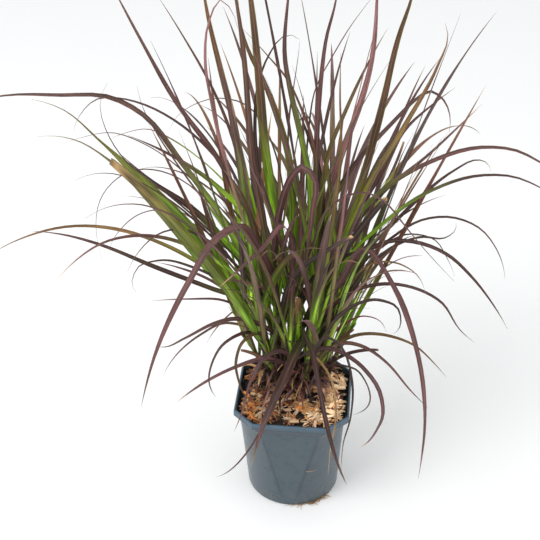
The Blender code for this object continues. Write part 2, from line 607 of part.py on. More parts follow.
def grow_seen_blade(stems, width, heading, tint, places, aside, cut):
    """Roots the blade on a stem that is seen near its root, turned until it stands clear.

    Every sight line is met with the upright plane through the root that runs along the heading.
    """
    places = np.array(places, float)[::-1]
    lines = sight_lines(places)
    shares = np.linspace(0.24, 0.97, 24)
    turn = math.radians(heading) + SIGHT_TURN
    down = (places[0] - places[1]) / np.linalg.norm(places[0] - places[1])
    choices = []
    for stem in stems:
        points = stem.places(shares)
        gap = seen_places(points) - places[0]
        along = gap @ down
        beside = np.abs(gap @ (-down[1], down[0]))
        far = beside + LONGER * np.maximum(along, 0) - TURNED_BACK * np.minimum(along, 0)
        nearest = int(far.argmin())
        same_side = stem.share * (stem.outward[:2] @ (math.cos(turn), math.sin(turn)))
        cost = far[nearest] + CROWDED * max(0, len(stem.blades) - 3) - OUTER_GAIN * same_side
        choices.append((cost, nearest, points[nearest], stem))
    choices.sort(key=lambda choice: (choice[0], choice[1]))
    for _, _, root, stem in choices[:STEM_TRIALS]:
        for change in HEADING_TRIALS:
            turn = math.radians(heading + change) + SIGHT_TURN
            across = np.array((-math.sin(turn), math.cos(turn), 0))
            reach = across @ (root - EYE) / (lines @ across)
            points = EYE + lines * reach[:, None]
            points = points[np.linalg.norm(points - root, axis=1) > ROOT_STEP]
            if len(points) < 2 or (reach <= 0).any():
                continue
            blade = Blade(np.vstack((root, points)), turn, SEEN_GAIN * width / 1000, (0, 0), tint, cut)
            blade.face_the_eye(aside)
            if stands_clear(blade, stem, stems):
                add_blade(blade, stem)
                return True
    return False


def drawn_route(root, heading, length, lean, droop):
    """A route that tips from its lean at the root to its droop at the tip, faster towards the tip."""
    share = np.linspace(0, 1, 16)
    tilt = lean + (droop - lean) * share**1.5
    step = length / (len(share) - 1)
    out = np.concatenate(([0], np.cumsum(np.sin(tilt[1:])))) * step
    rise = np.concatenate(([0], np.cumsum(np.cos(tilt[1:])))) * step
    return root + np.column_stack((out * math.cos(heading), out * math.sin(heading), rise))


def grow_drawn_blades(stems, rng):
    """Fills up each stem with blades drawn by rule to the back and the front, with one at its top."""
    for level in range(BLADES_PER_STEM):
        for stem in stems:
            if len(stem.blades) >= BLADES_PER_STEM or len(stem.blades) > level + 2:
                continue
            for _ in range(DRAWN_TRIALS):
                _, headings, droops = rng.choices(DRAWN_KINDS, [kind[0] for kind in DRAWN_KINDS])[0]
                heading = math.radians(rng.uniform(*headings))
                droop = math.radians(rng.uniform(*droops))
                lean = math.radians(rng.uniform(*DRAWN_LEAN))
                length = rng.uniform(*DRAWN_LENGTH)
                root = stem.places([rng.uniform(0.30, 0.97)])[0]
                width = rng.uniform(*DRAWN_WIDTH)
                rolls = (rng.uniform(-1.0, 1.0), rng.uniform(-0.6, 0.6))
                tint = rng.choice(DRAWN_TINTS)
                blade = Blade(drawn_route(root, heading, length, lean, droop), heading, width, rolls, tint)
                if stands_clear(blade, stem, stems):
                    add_blade(blade, stem)
                    break


def grow_plant():
    """Every stem with its blades: those that are seen from the front first, then the drawn ones."""
    rng = random.Random(DRAWN_SEED)
    stems = [Stem(number) for number in range(STEMS)]
    for table, cut in ((SEEN_BLADES, False), (CUT_BLADES, True)):
        for width, heading, tint, places in table:
            grow_seen_blade(stems, width, heading, tint, places, rng.uniform(-SEEN_ASIDE, SEEN_ASIDE), cut)
    grow_drawn_blades(stems, rng)
    return stems


def keep_outer_skin(mesh):
    """Fills a hollow that the join has sealed, and drops a loose scrap: only the largest skin stays."""
    shape = bmesh.new()
    shape.from_mesh(mesh)
    left = set(shape.verts)
    largest = set()
    while left:
        ahead = [left.pop()]
        skin = set(ahead)
        while ahead:
            vertex = ahead.pop()
            near = {edge.other_vert(vertex) for edge in vertex.link_edges} & left
            left -= near
            skin |= near
            ahead += near
        if len(skin) > len(largest):
            largest = skin
    inner = [vertex for vertex in shape.verts if vertex not in largest]
    bmesh.ops.delete(shape, geom=inner, context="VERTS")
    shape.to_mesh(mesh)
    shape.free()


def joined(name, core, pieces, group, solver="EXACT"):
    """One body: the core with every piece in the collection joined to it by a Boolean union."""
    join = core.modifiers.new("join", "BOOLEAN")
    join.operation = "UNION"
    join.solver = solver
    join.operand_type = "COLLECTION"
    join.collection = pieces
    bpy.context.view_layer.update()
    graph = bpy.context.evaluated_depsgraph_get()
    mesh = bpy.data.meshes.new_from_object(core.evaluated_get(graph))
    mesh.name = name
    keep_outer_skin(mesh)
    for piece in list(pieces.objects):
        bpy.data.objects.remove(piece, do_unlink=True)
    bpy.data.collections.remove(pieces)
    bpy.data.objects.remove(core, do_unlink=True)
    body = bpy.data.objects.new(name, mesh)
    group.objects.link(body)
    return body


def make_stem(number, stem, group):
    """A shoot and its blades as one body, in the colour that most of its blades have."""
    pieces = new_collection("stem pieces")
    for blade in stem.blades:
        new_object("blade", *blade.shape(), pieces)
    name = f"leafy_stem_{number + 1:02d}"
    core = new_object("culm", *stem.shape, group)
    body = joined(name, core, pieces, group, solver="MANIFOLD")
    tints = [blade.tint for blade in stem.blades]
    finish(body, LEAF_COLOURS[max(sorted(set(tints)), key=tints.count)], LEAF_ROUGHNESS)


def make_hole_cutters(stems, cutters):
    """A plain hole in the mix and the mulch for each stem, a little wider than the stem's foot."""
    radius = (STEM_WIDTH[0] / 2 + HOLE_CLEARANCE) / math.cos(math.pi / HOLE_SIDES)
    for number, stem in enumerate(stems):
        foot, neck = stem.places([-STEM_DEPTH / stem.height, STEM_WAISTS[0]])
        along = Vector(neck - foot)
        place = foot + (neck - foot) * 0.55 - along.normalized() * HOLE_CLEARANCE
        hole = peg(f"hole_cutter_{number}", radius, along.length * 1.1, HOLE_SIDES, place)
        hole.rotation_euler = along.to_track_quat("Z", "Y").to_euler()
        cutters.objects.link(hole)


def cut_holes(body, cutters):
    cut = body.modifiers.new("stem holes", "BOOLEAN")
    cut.operation = "DIFFERENCE"
    cut.operand_type = "COLLECTION"
    cut.collection = cutters


def make_mix(group, cutters):
    """The potting mix fills the pot from its floor to under the mulch."""
    heights = (FLOOR + GAP, *WALL_HEIGHTS, MIX_TOP)
    mix = new_object("potting_mix", *loft([inner_ring(height, MIX_GAP) for height in heights]), group)
    cut_holes(mix, cutters)
    finish(mix, MIX_COLOUR, MIX_ROUGHNESS)


def chip_shape(rng, place, turn):
    """A splintered flake: a box with corners moved a little, a tilted top and its foot sunk in the bed."""
    size = np.array([rng.uniform(*CHIP_LENGTH), rng.uniform(*CHIP_WIDTH), 1])
    slope = math.tan(math.radians(rng.uniform(-CHIP_TILT, CHIP_TILT)))
    shape = bmesh.new()
    bmesh.ops.create_cube(shape, size=1)
    for vertex in shape.verts:
        shrink = [rng.uniform(0.78, 1.0) for _ in range(3)]
        x, y, level = (np.array(vertex.co) * size * shrink).tolist()
        across = x * math.cos(turn) - y * math.sin(turn)
        along = x * math.sin(turn) + y * math.cos(turn)
        height = place[2] + x * slope if level > 0 else BED_TOP - CHIP_SUNK
        vertex.co = (place[0] + across, place[1] + along, height)
    return shape


def chip_fits(shape, stems):
    """True if the flake keeps off the stems' holes and inside the pot."""
    points = np.array([vertex.co[:] for vertex in shape.verts])
    flat = CHIP_REACH * (2 - 2 * RIM_CUT / RIM_WIDTH)
    level = np.abs(points[:, :2])
    if level.max() > CHIP_REACH or level.sum(axis=1).max() > flat * CHIP_CORNER:
        return False
    low, high = points.min(axis=0), points.max(axis=0)
    for stem in stems:
        near = np.clip(stem.base, low, high) - stem.base
        if np.linalg.norm(near[:2]) < STEM_WIDTH[0] * 0.9:
            return False
    return True


def mound_ring():
    """The level top of the mound around the stems."""
    ring = level_ring(BED_TOP + MOUND, MOUND_WIDTH, 1)
    return ring * (1, CLUMP_RADII[1] / CLUMP_RADII[0], 1) + (*CLUMP_MIDDLE, 0)


def bed_height(x, y):
    """Height of the bed: level near the wall, and rising evenly to the mound's edge."""
    stretch = CLUMP_RADII[0] / CLUMP_RADII[1]
    far = math.hypot(x - CLUMP_MIDDLE[0], (y - CLUMP_MIDDLE[1]) * stretch)
    return BED_TOP + MOUND * min(1, max(0, 1 - (far - MOUND_WIDTH / 2) / (MOUND_WIDTH / 2)))


def make_mulch(stems, group, cutters):
    """A thin bed of chips with larger flakes on it, laid on a shaken grid that leaves out the stems."""
    rng = random.Random(CHIP_SEED)
    bed = MIX_TOP + GAP
    ledge = POT_HEIGHT - RIM_BAND - STEP_BAND
    rings = [inner_ring(bed, GAP), inner_ring(ledge, GAP), inner_ring(BED_TOP, 2 * GAP), mound_ring()]
    core = new_object("mulch bed", *loft(rings), group)
    pieces = new_collection("chips")
    steps = np.arange(-5, 6) * CHIP_PITCH
    for x in steps:
        for y in steps:
            for _ in range(CHIP_TRIALS):
                shake = [rng.uniform(-0.4, 0.4) * CHIP_PITCH for _ in range(2)]
                place = [x + shake[0], y + shake[1], 0]
                place[2] = bed_height(*place[:2]) + rng.uniform(*CHIP_RISE)
                flake = chip_shape(rng, place, rng.uniform(0, math.pi))
                fits = chip_fits(flake, stems)
                if fits:
                    mesh = bpy.data.meshes.new("chip")
                    flake.to_mesh(mesh)
                    pieces.objects.link(bpy.data.objects.new("chip", mesh))
                flake.free()
                if fits:
                    break
    mulch = joined("chip_mulch", core, pieces, group)
    cut_holes(mulch, cutters)
    finish(mulch, CHIP_COLOUR, CHIP_ROUGHNESS)


def main():
    clear_scene()
    group = new_collection("potted fountain grass")
    drains = new_collection("drain cutters")
    holes = new_collection("hole cutters")
    drains.hide_render = True
    holes.hide_render = True
    stems = grow_plant()
    make_pot(group, drains)
    make_hole_cutters(stems, holes)
    make_mix(group, holes)
    make_mulch(stems, group, holes)
    for number, stem in enumerate(stems):
        make_stem(number, stem, group)


if __name__ == "__main__":
    main()
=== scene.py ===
"""Looks of a potted purple fountain grass: leafy stems, sheaths, wood chips, soil and nursery pot.

Laid out as a Blender add-on and run as a script. Metres, +Z up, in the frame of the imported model: the
origin is the middle of the pot's base and the pot's front faces -Y.
"""

import math
import random

import bpy
import numpy as np
from bpy.props import FloatProperty, FloatVectorProperty, IntProperty, PointerProperty
from mathutils.bvhtree import BVHTree
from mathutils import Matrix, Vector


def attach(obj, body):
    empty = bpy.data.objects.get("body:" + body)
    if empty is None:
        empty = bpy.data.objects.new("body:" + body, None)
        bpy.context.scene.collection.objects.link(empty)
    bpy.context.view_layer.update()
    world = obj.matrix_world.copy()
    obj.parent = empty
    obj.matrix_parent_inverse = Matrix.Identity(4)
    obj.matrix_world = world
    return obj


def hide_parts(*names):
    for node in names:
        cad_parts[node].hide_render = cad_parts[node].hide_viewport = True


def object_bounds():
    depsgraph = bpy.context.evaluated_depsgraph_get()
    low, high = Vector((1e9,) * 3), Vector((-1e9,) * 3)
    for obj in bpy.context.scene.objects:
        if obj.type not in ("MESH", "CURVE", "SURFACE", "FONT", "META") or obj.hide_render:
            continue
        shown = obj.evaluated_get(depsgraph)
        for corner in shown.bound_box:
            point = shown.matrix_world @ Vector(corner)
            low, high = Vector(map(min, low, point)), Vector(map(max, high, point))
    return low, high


bl_info = {
    "name": "Potted fountain grass",
    "version": (1, 0, 0),
    "blender": (4, 5, 0),
    "location": "3D View > Sidebar > Grass",
    "description": "Dresses the solids of a potted purple fountain grass with blades, chips and a pot",
    "category": "Add Mesh",
}

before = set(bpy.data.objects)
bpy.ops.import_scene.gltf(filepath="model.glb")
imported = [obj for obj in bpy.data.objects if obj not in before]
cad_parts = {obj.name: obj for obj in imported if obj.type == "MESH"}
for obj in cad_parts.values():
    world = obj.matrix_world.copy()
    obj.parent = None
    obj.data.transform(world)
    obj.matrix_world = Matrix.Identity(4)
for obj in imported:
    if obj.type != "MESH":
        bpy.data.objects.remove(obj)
CAD_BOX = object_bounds()

# Sizes of the solids, which the fine surfaces follow.
POT_HEIGHT = 0.150
RIM_WIDTH = 0.150
RIM_CUT = 0.0265
RIM_BAND = 0.0095
RIM_LIP = 0.0030
STEP_WIDTH = 0.1435
STEP_BAND = 0.0055
BODY_WIDTH = 0.1370
BODY_ROUNDNESS = 0.12
BASE_WIDTH = 0.1230
BASE_FLAT = 6.0
BASE_ROUND = 0.0022
LEDGE_ROUND = 0.0022  # under the smaller step
STEP_ROUND = 0.0006
BAND_ROUND = 0.0011
OUTER_ROUND = 0.0014  # at the lip's top, outside and inside
INNER_ROUND = 0.0012
WALL = 0.0016
FLOOR = 0.0025
DRAIN_HOLES = 6
DRAIN_WIDTH = 0.009
DRAIN_RING = 0.043
MIX_TOP = 0.1330
BED_TOP = 0.1372
MOUND = 0.0055
MOUND_WIDTH = 0.086

# Stems: a clump of upright shoots, taller and straighter towards its middle.
STEMS = 26
CLUMP_MIDDLE = (0.003, 0.035)  # behind the middle of the pot
CLUMP_RADII = (0.041, 0.024)
GOLDEN_ANGLE = math.radians(137.508)
STEM_HEIGHT = (0.165, 0.095)  # above the mix, in the clump's middle and at its edge
STEM_LEAN = (2.0, 22.0)  # degrees at the top, in the middle and at the edge
STEM_WIDTH = (0.0046, 0.0060, 0.0036)  # at the foot, above the mulch and at the top
STEM_WAISTS = (0.12, 0.26, 1.0)  # the shares of its height where it has these widths
STEM_SIDES = 5
STEM_DEPTH = 0.036

# Blades: long, narrow, arching leaves with a keel under the midrib.
KEEL = 0.0013
EDGE_LIFT = 0.18  # an edge stands above the midrib by this share of the half width
ROOT_WIDTH = 0.0026
TIP_POWER = 3.4  # a blade keeps its width for longer with a larger power
CUT_TAPER = 0.45  # a cut blade has lost this share of its width at its end
GROWN_AT = 0.2  # a blade has its full width from this share of its length
ROUTE_POINTS = 61
BLADES_PER_STEM = 7
CLEARANCE = 0.0011
FREE_FROM = 0.16  # a blade runs clear of its own stem after this share of its length
LOWEST = 0.016
LENGTHS = (0.04, 0.64)  # shortest and longest
REACH = 0.41  # blades stay within this distance of the upright through the origin
SEEN_GAIN = 1.06  # a seen blade is this much wider than it looks, as its channel folds it a little
SEEN_ASIDE = 0.45  # a seen blade's face is turned from the eye by up to this angle, either way
SEEN_TURNS = 7  # places along a seen blade where it is turned to the eye
POT_KEEP_OUT = 0.0795  # half width that blades stay outside of, below the rim
RIM_CLEAR_HEIGHT = 0.1545
HEADING_TRIALS = (0, 5, -5, 10, -10, 16, -16, 22, -22, 30, -30, 38, -38, 46, -46, 54, -54)
STEM_TRIALS = 6
DRAWN_TRIALS = 90
ROOT_STEP = 0.022  # distance from a seen blade's root to its next place, at least
CROWDED = 9  # cost of each blade past the third on a stem, as a distance on the sighting square
LONGER = 0.30  # cost of a longer way down to the stem, along the blade's own line
TURNED_BACK = 1.6  # cost of a stem that lies above the blade's lowest seen place
OUTER_GAIN = 16  # gain of an outer stem on the side that the blade arches to

# Sighting square: the places of blades that are seen from the front are read on an upright square, 540
# mm wide, held before the eye. A sight line through such a place meets its blade's upright plane.
SIGHT_TURN = math.radians(5.5)  # the pot's front is turned from the eye by this
RIGHT = np.array((math.cos(SIGHT_TURN), math.sin(SIGHT_TURN), 0))
BEHIND = np.array((-math.sin(SIGHT_TURN), math.cos(SIGHT_TURN), 0))
UP = np.array((0, 0, 1))
EYE = -0.032 * RIGHT - 1.194 * BEHIND + 1.115 * UP
SIGHT_DIP = math.radians(33)  # the middle sight line looks down by this
SIGHT_AHEAD = math.cos(SIGHT_DIP) * BEHIND - math.sin(SIGHT_DIP) * UP
SIGHT_UPWARD = math.sin(SIGHT_DIP) * BEHIND + math.cos(SIGHT_DIP) * UP
SIGHT_DISTANCE = 1151.0  # millimetres from the eye to the square
SIGHT_MIDDLE = 270.0

# Each blade that is seen: its width in millimetres, its heading in degrees (0 is right, 90 is the back), its
# tint, and its places from tip to root, in millimetres right of and below the square's upper left corner.
SEEN_BLADES = (
    # Upper left
    (7.5, 172, "plum", ((104, -30), (141, 40), (175, 100), (222, 165), (245, 215), (262, 270))),
    (4.4, 200, "russet", ((155, -8), (180, 31), (218, 100), (230, 130), (240, 165), (258, 230))),
    (7.5, 187, "plum",
     ((-40, 107), (0, 96), (60, 95), (110, 97), (140, 112), (180, 160), (222, 218), (262, 285))),
    (3.5, 158, "wine",
     ((73, 132), (82, 112), (97, 99), (118, 98), (140, 103), (180, 124), (222, 165), (250, 215))),
    (13.5, 198, "moss", ((30, 99), (60, 108), (100, 141), (150, 188), (190, 228), (232, 278), (252, 303))),
    (12.5, 166, "silver",
     ((36, 137), (78, 141), (110, 161), (155, 205), (195, 253), (238, 303), (258, 332))),
    (9.4, 176, "plum", ((122, 155), (150, 180), (190, 207), (230, 247), (258, 285))),
    (2.2, 216, "wine",
     ((108, 82), (101, 96), (101, 115), (106, 130), (125, 160), (150, 180), (200, 222), (250, 275))),
    (2.6, 148, "plum",
     ((107, 141), (125, 133), (153, 130), (168, 137), (190, 151), (232, 190), (262, 238))),
    (6.9, 186, "plum", ((127, 135), (155, 147), (200, 173), (250, 218), (272, 242), (285, 265))),
    (2.9, 138, "plum", ((137, 85), (143, 108), (156, 132), (180, 168), (215, 215), (258, 275))),
    (2.0, 130, "wine", ((60, 145), (80, 138), (115, 133), (150, 147), (200, 187), (250, 242))),
    (2.6, 212, "plum", ((74, 181), (85, 176), (105, 173), (130, 178), (165, 197), (210, 235), (255, 290))),
    (2.9, 154, "plum", ((140, 169), (155, 167), (185, 174), (235, 212), (265, 255))),
    (2.2, 164, "plum",
     ((169, 131), (175, 119), (200, 102), (218, 98), (248, 106), (262, 122), (275, 152), (285, 200))),
    (2.2, 150, "plum", ((120, 196), (151, 200), (185, 214), (225, 245), (258, 285))),
    # Left
    (5.2, 178, "olive", ((-12, 256), (20, 239), (75, 226), (110, 228), (165, 245), (200, 264), (262, 322))),
    (6.2, 193, "wine", ((30, 231), (65, 235), (95, 243), (155, 267), (210, 288), (255, 305), (275, 325))),
    (5.0, 216, "plum",
     ((55, 282), (75, 261), (100, 244), (130, 236), (160, 237), (190, 246), (225, 267), (262, 302))),
    (2.2, 146, "plum",
     ((108, 256), (112, 242), (120, 230), (142, 213), (155, 210), (190, 222), (235, 257), (265, 295))),
    (3.3, 221, "wine",
     ((127, 273), (140, 250), (155, 236), (178, 229), (200, 236), (235, 264), (265, 300))),
    (3.5, 226, "plum",
     ((137, 293), (132, 280), (138, 267), (155, 261), (195, 268), (235, 292), (262, 325))),
    (4.5, 160, "wine", ((155, 262), (180, 268), (210, 280), (240, 302), (262, 335))),
    (3.3, 202, "plum", ((150, 301), (190, 299), (222, 300), (255, 320), (272, 345))),
    (1.8, 134, "plum",
     ((103, 262), (96, 230), (99, 203), (113, 182), (135, 170), (170, 174), (215, 207), (258, 262))),
    (2.6, 232, "plum", ((84, 219), (105, 208), (135, 204), (165, 212), (210, 243), (255, 295))),
    # Middle, rising
    (9.5, 152, "green", ((199, -46), (205, 0), (222, 75), (231, 110), (238, 145), (247, 185), (262, 250))),
    (5.0, 190, "pink",
     ((238, 30), (230, 8), (221, -2), (210, 18), (205, 60), (212, 105), (228, 170), (248, 235))),
    (8.8, 202, "russet", ((222, -62), (236, 0), (245, 70), (248, 110), (251, 150), (262, 215))),
    (10.0, 168, "olive", ((238, -4), (248, 50), (262, 78), (280, 125), (287, 150), (293, 200))),
    (12.0, 212, "green", ((240, -72), (251, 0), (259, 75), (265, 145), (275, 215), (284, 262))),
    (5.0, 22, "night",
     ((300, 40), (292, 35), (282, 37), (270, 53), (258, 85), (255, 120), (258, 170), (270, 250))),
    (3.3, 332, "plum", ((300, 40), (297, 65), (294, 85), (290, 110), (288, 160), (290, 215))),
    (7.5, 206, "plum", ((294, -48), (288, 0), (285, 60), (290, 88), (303, 145), (309, 175), (311, 225))),
    (4.4, 158, "russet", ((241, 27), (268, 56), (288, 80), (300, 105), (312, 138), (316, 190), (314, 238))),
    (2.4, 186, "plum", ((292, 65), (303, 100), (311, 138), (318, 195), (316, 240))),
    (7.5, 150, "night", ((294, 100), (306, 130), (318, 165), (322, 200), (319, 250))),
    (2.4, 32, "plum",
     ((384, -18), (370, 0), (350, 27), (332, 57), (316, 87), (309, 125), (306, 190), (304, 245))),
    (6.2, 338, "plum", ((342, -36), (335, 5), (326, 40), (321, 80), (318, 120), (315, 180), (311, 235))),
    (5.0, 312, "olive", ((341, 52), (340, 100), (341, 140), (339, 175), (330, 240))),
    (6.2, 16, "olive", ((388, 28), (362, 75), (345, 112), (330, 148), (322, 190), (316, 240))),
    (8.8, 350, "pink", ((377, -52), (377, 0), (371, 65), (360, 105), (345, 145), (333, 180), (320, 240))),
    (10.5, 8, "green", ((420, -42), (411, 0), (400, 32), (381, 110), (362, 180), (340, 240), (326, 285))),
    # Upper right
    (7.5, 336, "olive", ((445, 22), (448, 36), (438, 65), (405, 125), (370, 183), (345, 235), (330, 278))),
    (6.2, 30, "plum",
     ((449, 133), (450, 116), (441, 97), (429, 91), (415, 100), (395, 120), (345, 178), (325, 218))),
    (6.2, 356, "plum", ((456, 87), (432, 105), (410, 124), (377, 180), (345, 230), (328, 265))),
    (2.9, 25, "wine", ((414, 132), (400, 160), (391, 190), (382, 218), (362, 255), (335, 300))),
    (5.6, 6, "wine", ((483, 103), (455, 130), (428, 155), (385, 190), (355, 225), (332, 268))),
    (6.2, 344, "plum",
     ((577, 186), (545, 165), (515, 150), (485, 147), (425, 164), (390, 184), (350, 225), (328, 268))),
    (5.6, 20, "plum",
     ((491, 172), (484, 161), (475, 160), (455, 170), (415, 202), (395, 222), (355, 264), (330, 300))),
    (4.5, 331, "plum",
     ((574, 209), (545, 190), (515, 177), (485, 175), (428, 192), (380, 226), (345, 262), (328, 298))),
    (6.9, 42, "night", ((370, 180), (355, 205), (325, 248), (308, 290))),
    # Right
    (2.9, 40, "wine", ((446, 195), (422, 204), (400, 217), (365, 247), (335, 292))),
    (3.3, 351, "plum",
     ((505, 280), (497, 250), (478, 227), (450, 217), (425, 219), (390, 239), (355, 273), (333, 312))),
    (5.0, 14, "night",
     ((456, 222), (454, 232), (447, 237), (420, 237), (398, 244), (376, 259), (350, 286), (330, 322))),
    (2.4, 340, "wine", ((455, 277), (447, 258), (435, 240), (410, 234), (378, 250), (342, 288))),
    (2.9, 326, "pink",
     ((455, 282), (425, 250), (405, 226), (385, 202), (368, 193), (345, 197), (325, 213), (313, 245))),
    (5.0, 355, "plum",
     ((508, 330), (490, 300), (470, 275), (448, 255), (420, 243), (390, 241), (350, 266), (325, 315))),
    (2.9, 330, "olive", ((425, 293), (418, 276), (400, 264), (378, 262), (350, 282), (328, 318))),
    (7.5, 318, "plum",
     ((418, 480), (422, 455), (425, 425), (417, 350), (395, 288), (368, 249), (340, 282), (308, 330))),
    (4.5, 345, "plum",
     ((475, 343), (461, 331), (440, 301), (425, 292), (395, 284), (368, 286), (340, 300), (318, 332))),
    (5.0, 309, "night",
     ((393, 334), (401, 320), (399, 310), (380, 300), (362, 302), (340, 315), (318, 345))),
    (3.3, 335, "red", ((386, 332), (380, 321), (365, 316), (347, 322), (333, 333), (316, 355))),
    (4.4, 327, "olive",
     ((447, 378), (433, 362), (417, 347), (390, 336), (362, 334), (335, 345), (316, 364))),
    (5.0, 313, "plum",
     ((428, 408), (410, 390), (388, 364), (368, 349), (345, 343), (328, 350), (313, 366))),
    (5.6, 301, "wine",
     ((359, 448), (376, 431), (383, 410), (379, 390), (365, 370), (346, 355), (325, 348), (311, 362))),
    (2.6, 304, "wine", ((352, 415), (368, 387), (360, 373), (345, 366), (325, 366), (311, 374))),
    (3.1, 296, "night",
     ((341, 475), (343, 445), (351, 415), (352, 380), (345, 352), (330, 338), (314, 348))),
    (13.0, 322, "night", ((370, 265), (352, 290), (335, 318), (325, 337), (312, 358))),
    # Front and low
    (8.8, 219, "plum",
     ((141, 408), (145, 390), (155, 355), (190, 280), (218, 237), (240, 226), (258, 246), (278, 305))),
    (8.8, 226, "plum", ((218, 288), (245, 264), (265, 245), (281, 225), (291, 236), (292, 268))),
    (8.8, 324, "plum",
     ((320, 303), (311, 288), (312, 215), (313, 176), (303, 166), (295, 172), (284, 195), (273, 262))),
    (4.5, 206, "pink", ((212, 281), (240, 281), (268, 291), (285, 312))),
    (5.0, 231, "wine", ((234, 432), (242, 412), (251, 380), (262, 360), (280, 351), (290, 364))),
    (5.6, 206, "plum", ((176, 403), (205, 382), (235, 367), (260, 359), (282, 366))),
    (4.5, 226, "olive", ((246, 398), (238, 378), (236, 362), (242, 343), (254, 334), (274, 348))),
    (4.4, 211, "plum", ((216, 397), (210, 370), (220, 348), (238, 335), (258, 334), (277, 352))),
    (5.6, 196, "plum",
     ((155, 346), (165, 347), (185, 338), (215, 323), (230, 319), (262, 325), (280, 342))),
    (3.3, 181, "plum", ((163, 376), (178, 353), (200, 335), (225, 323), (255, 331), (278, 352))),
    (2.9, 165, "olive", ((207, 343), (220, 324), (237, 310), (258, 312), (277, 337))),
    (3.3, 200, "straw", ((225, 324), (242, 326), (266, 340), (282, 357))),
    (11.9, 238, "wine", ((251, 467), (260, 435), (272, 405), (286, 375), (296, 352), (303, 340))),
    (2.6, 233, "plum", ((216, 477), (235, 466), (252, 445), (270, 410), (283, 374), (293, 353))),
    (6.2, 292, "wine", ((347, 485), (332, 445), (324, 412), (318, 380), (313, 354), (308, 342))),
    (2.4, 286, "straw", ((328, 475), (331, 445), (336, 415), (333, 385), (322, 364), (312, 358))),
)

# Blades that end cut or torn off, in the same form.
CUT_BLADES = (
    (13.0, 205, "moss", ((110, 160), (150, 196), (190, 240), (230, 290), (258, 332))),
    (5.0, 45, "wine", ((404, 141), (392, 172), (370, 212), (340, 265))),
    (6.9, 319, "night", ((353, 236), (325, 252), (304, 266), (287, 290), (281, 315))),
    (5.0, 334, "night", ((362, 250), (340, 259), (315, 276), (300, 302), (295, 338))),
    (9.4, 331, "night", ((387, 197), (365, 223), (345, 249), (325, 279), (311, 310))),
    (5.6, 312, "green", ((354, 329), (338, 341), (320, 360))),
    (5.0, 350, "plum", ((379, 350), (342, 356), (316, 370))),
    (5.6, 190, "green", ((240, 350), (262, 358), (281, 370))),
)

# Blades that the front view doesn't tell apart are drawn by rule, in these ranges.
DRAWN_SEED = 43
DRAWN_WIDTH = (0.0055, 0.0110)
DRAWN_LENGTH = (0.230, 0.480)
DRAWN_LEAN = (7.0, 24.0)  # degrees from upright at the root
DRAWN_KINDS = (  # share of them, heading, and degrees from upright at the tip
    (0.38, (48.0, 132.0), (50.0, 128.0)),
    (0.30, (236.0, 304.0), (28.0, 74.0)),
    (0.32, (0.0, 360.0), (8.0, 30.0)),
)
DRAWN_TINTS = ("plum", "wine", "russet", "olive", "green", "plum", "pink")


def loft(rings, bottom_cap=True, top_cap=True):
    """Joins rings with the same number of points by rows of quads, and closes the ends with flat caps.

    Each ring runs anticlockwise seen from the end that the rings go towards.
    """
    rings = np.asarray(rings)
    rows, sides = rings.shape[:2]
    faces = []
    for row in range(rows - 1):
        for side in range(sides):
            a, b = row * sides + side, row * sides + (side + 1) % sides
            faces.append((a, b, b + sides, a + sides))
    if bottom_cap:
        faces.append(tuple(range(sides - 1, -1, -1)))
    if top_cap:
        faces.append(tuple(range((rows - 1) * sides, rows * sides)))
    return rings.reshape(-1, 3), faces


def unit(vectors):
    """Vectors of length one in the same directions."""
    return vectors / np.linalg.norm(vectors, axis=-1, keepdims=True)


def level_circle(sides):
    """Points of a level circle of radius one, anticlockwise from +X."""
    turns = np.arange(sides) * 2 * math.pi / sides
    return np.column_stack((np.cos(turns), np.sin(turns), np.zeros(sides)))


def sight_lines(places):
    """Directions from the eye through places on the square, each one long along the middle line."""
    across, down = ((np.asarray(places, float) - SIGHT_MIDDLE) / SIGHT_DISTANCE).T
    return SIGHT_AHEAD + across[:, None] * RIGHT - down[:, None] * SIGHT_UPWARD


def seen_places(points):
    """Where points in space are seen on the sighting square."""
    lines = np.asarray(points) - EYE
    seen = np.column_stack((lines @ RIGHT, -lines @ SIGHT_UPWARD))
    return SIGHT_MIDDLE + SIGHT_DISTANCE * seen / (lines @ SIGHT_AHEAD)[:, None]


def even_curve(points, count):
    """Evenly spaced places on a smooth curve through the points.

    Between two points the curve is a cubic. Its slope at a point is that of the parabola through the point
    and its two neighbours, over the distance travelled.
    """
    points = np.asarray(points)
    gaps = np.linalg.norm(np.diff(points, axis=0), axis=1)[:, None]
    slopes = np.diff(points, axis=0) / gaps
    inner = (slopes[:-1] * gaps[1:] + slopes[1:] * gaps[:-1]) / (gaps[:-1] + gaps[1:])
    slopes = np.vstack((2 * slopes[0] - inner[0], inner, 2 * slopes[-1] - inner[-1]))
    t = np.linspace(0, 1, 12, endpoint=False)[None, :, None]
    start, end = points[:-1, None], points[1:, None]
    leave, arrive = (slopes[:-1] * gaps)[:, None], (slopes[1:] * gaps)[:, None]
    fine = (
        start * (2 * t**3 - 3 * t**2 + 1)
        + leave * (t**3 - 2 * t**2 + t)
        + end * (3 * t**2 - 2 * t**3)
        + arrive * (t**3 - t**2)
    ).reshape(-1, 3)
    fine = np.vstack((fine, points[-1]))
    travelled = np.concatenate(([0], np.cumsum(np.linalg.norm(np.diff(fine, axis=0), axis=1))))
    even = np.linspace(0, travelled[-1], count)
    return np.column_stack([np.interp(even, travelled, fine[:, axis]) for axis in range(3)])


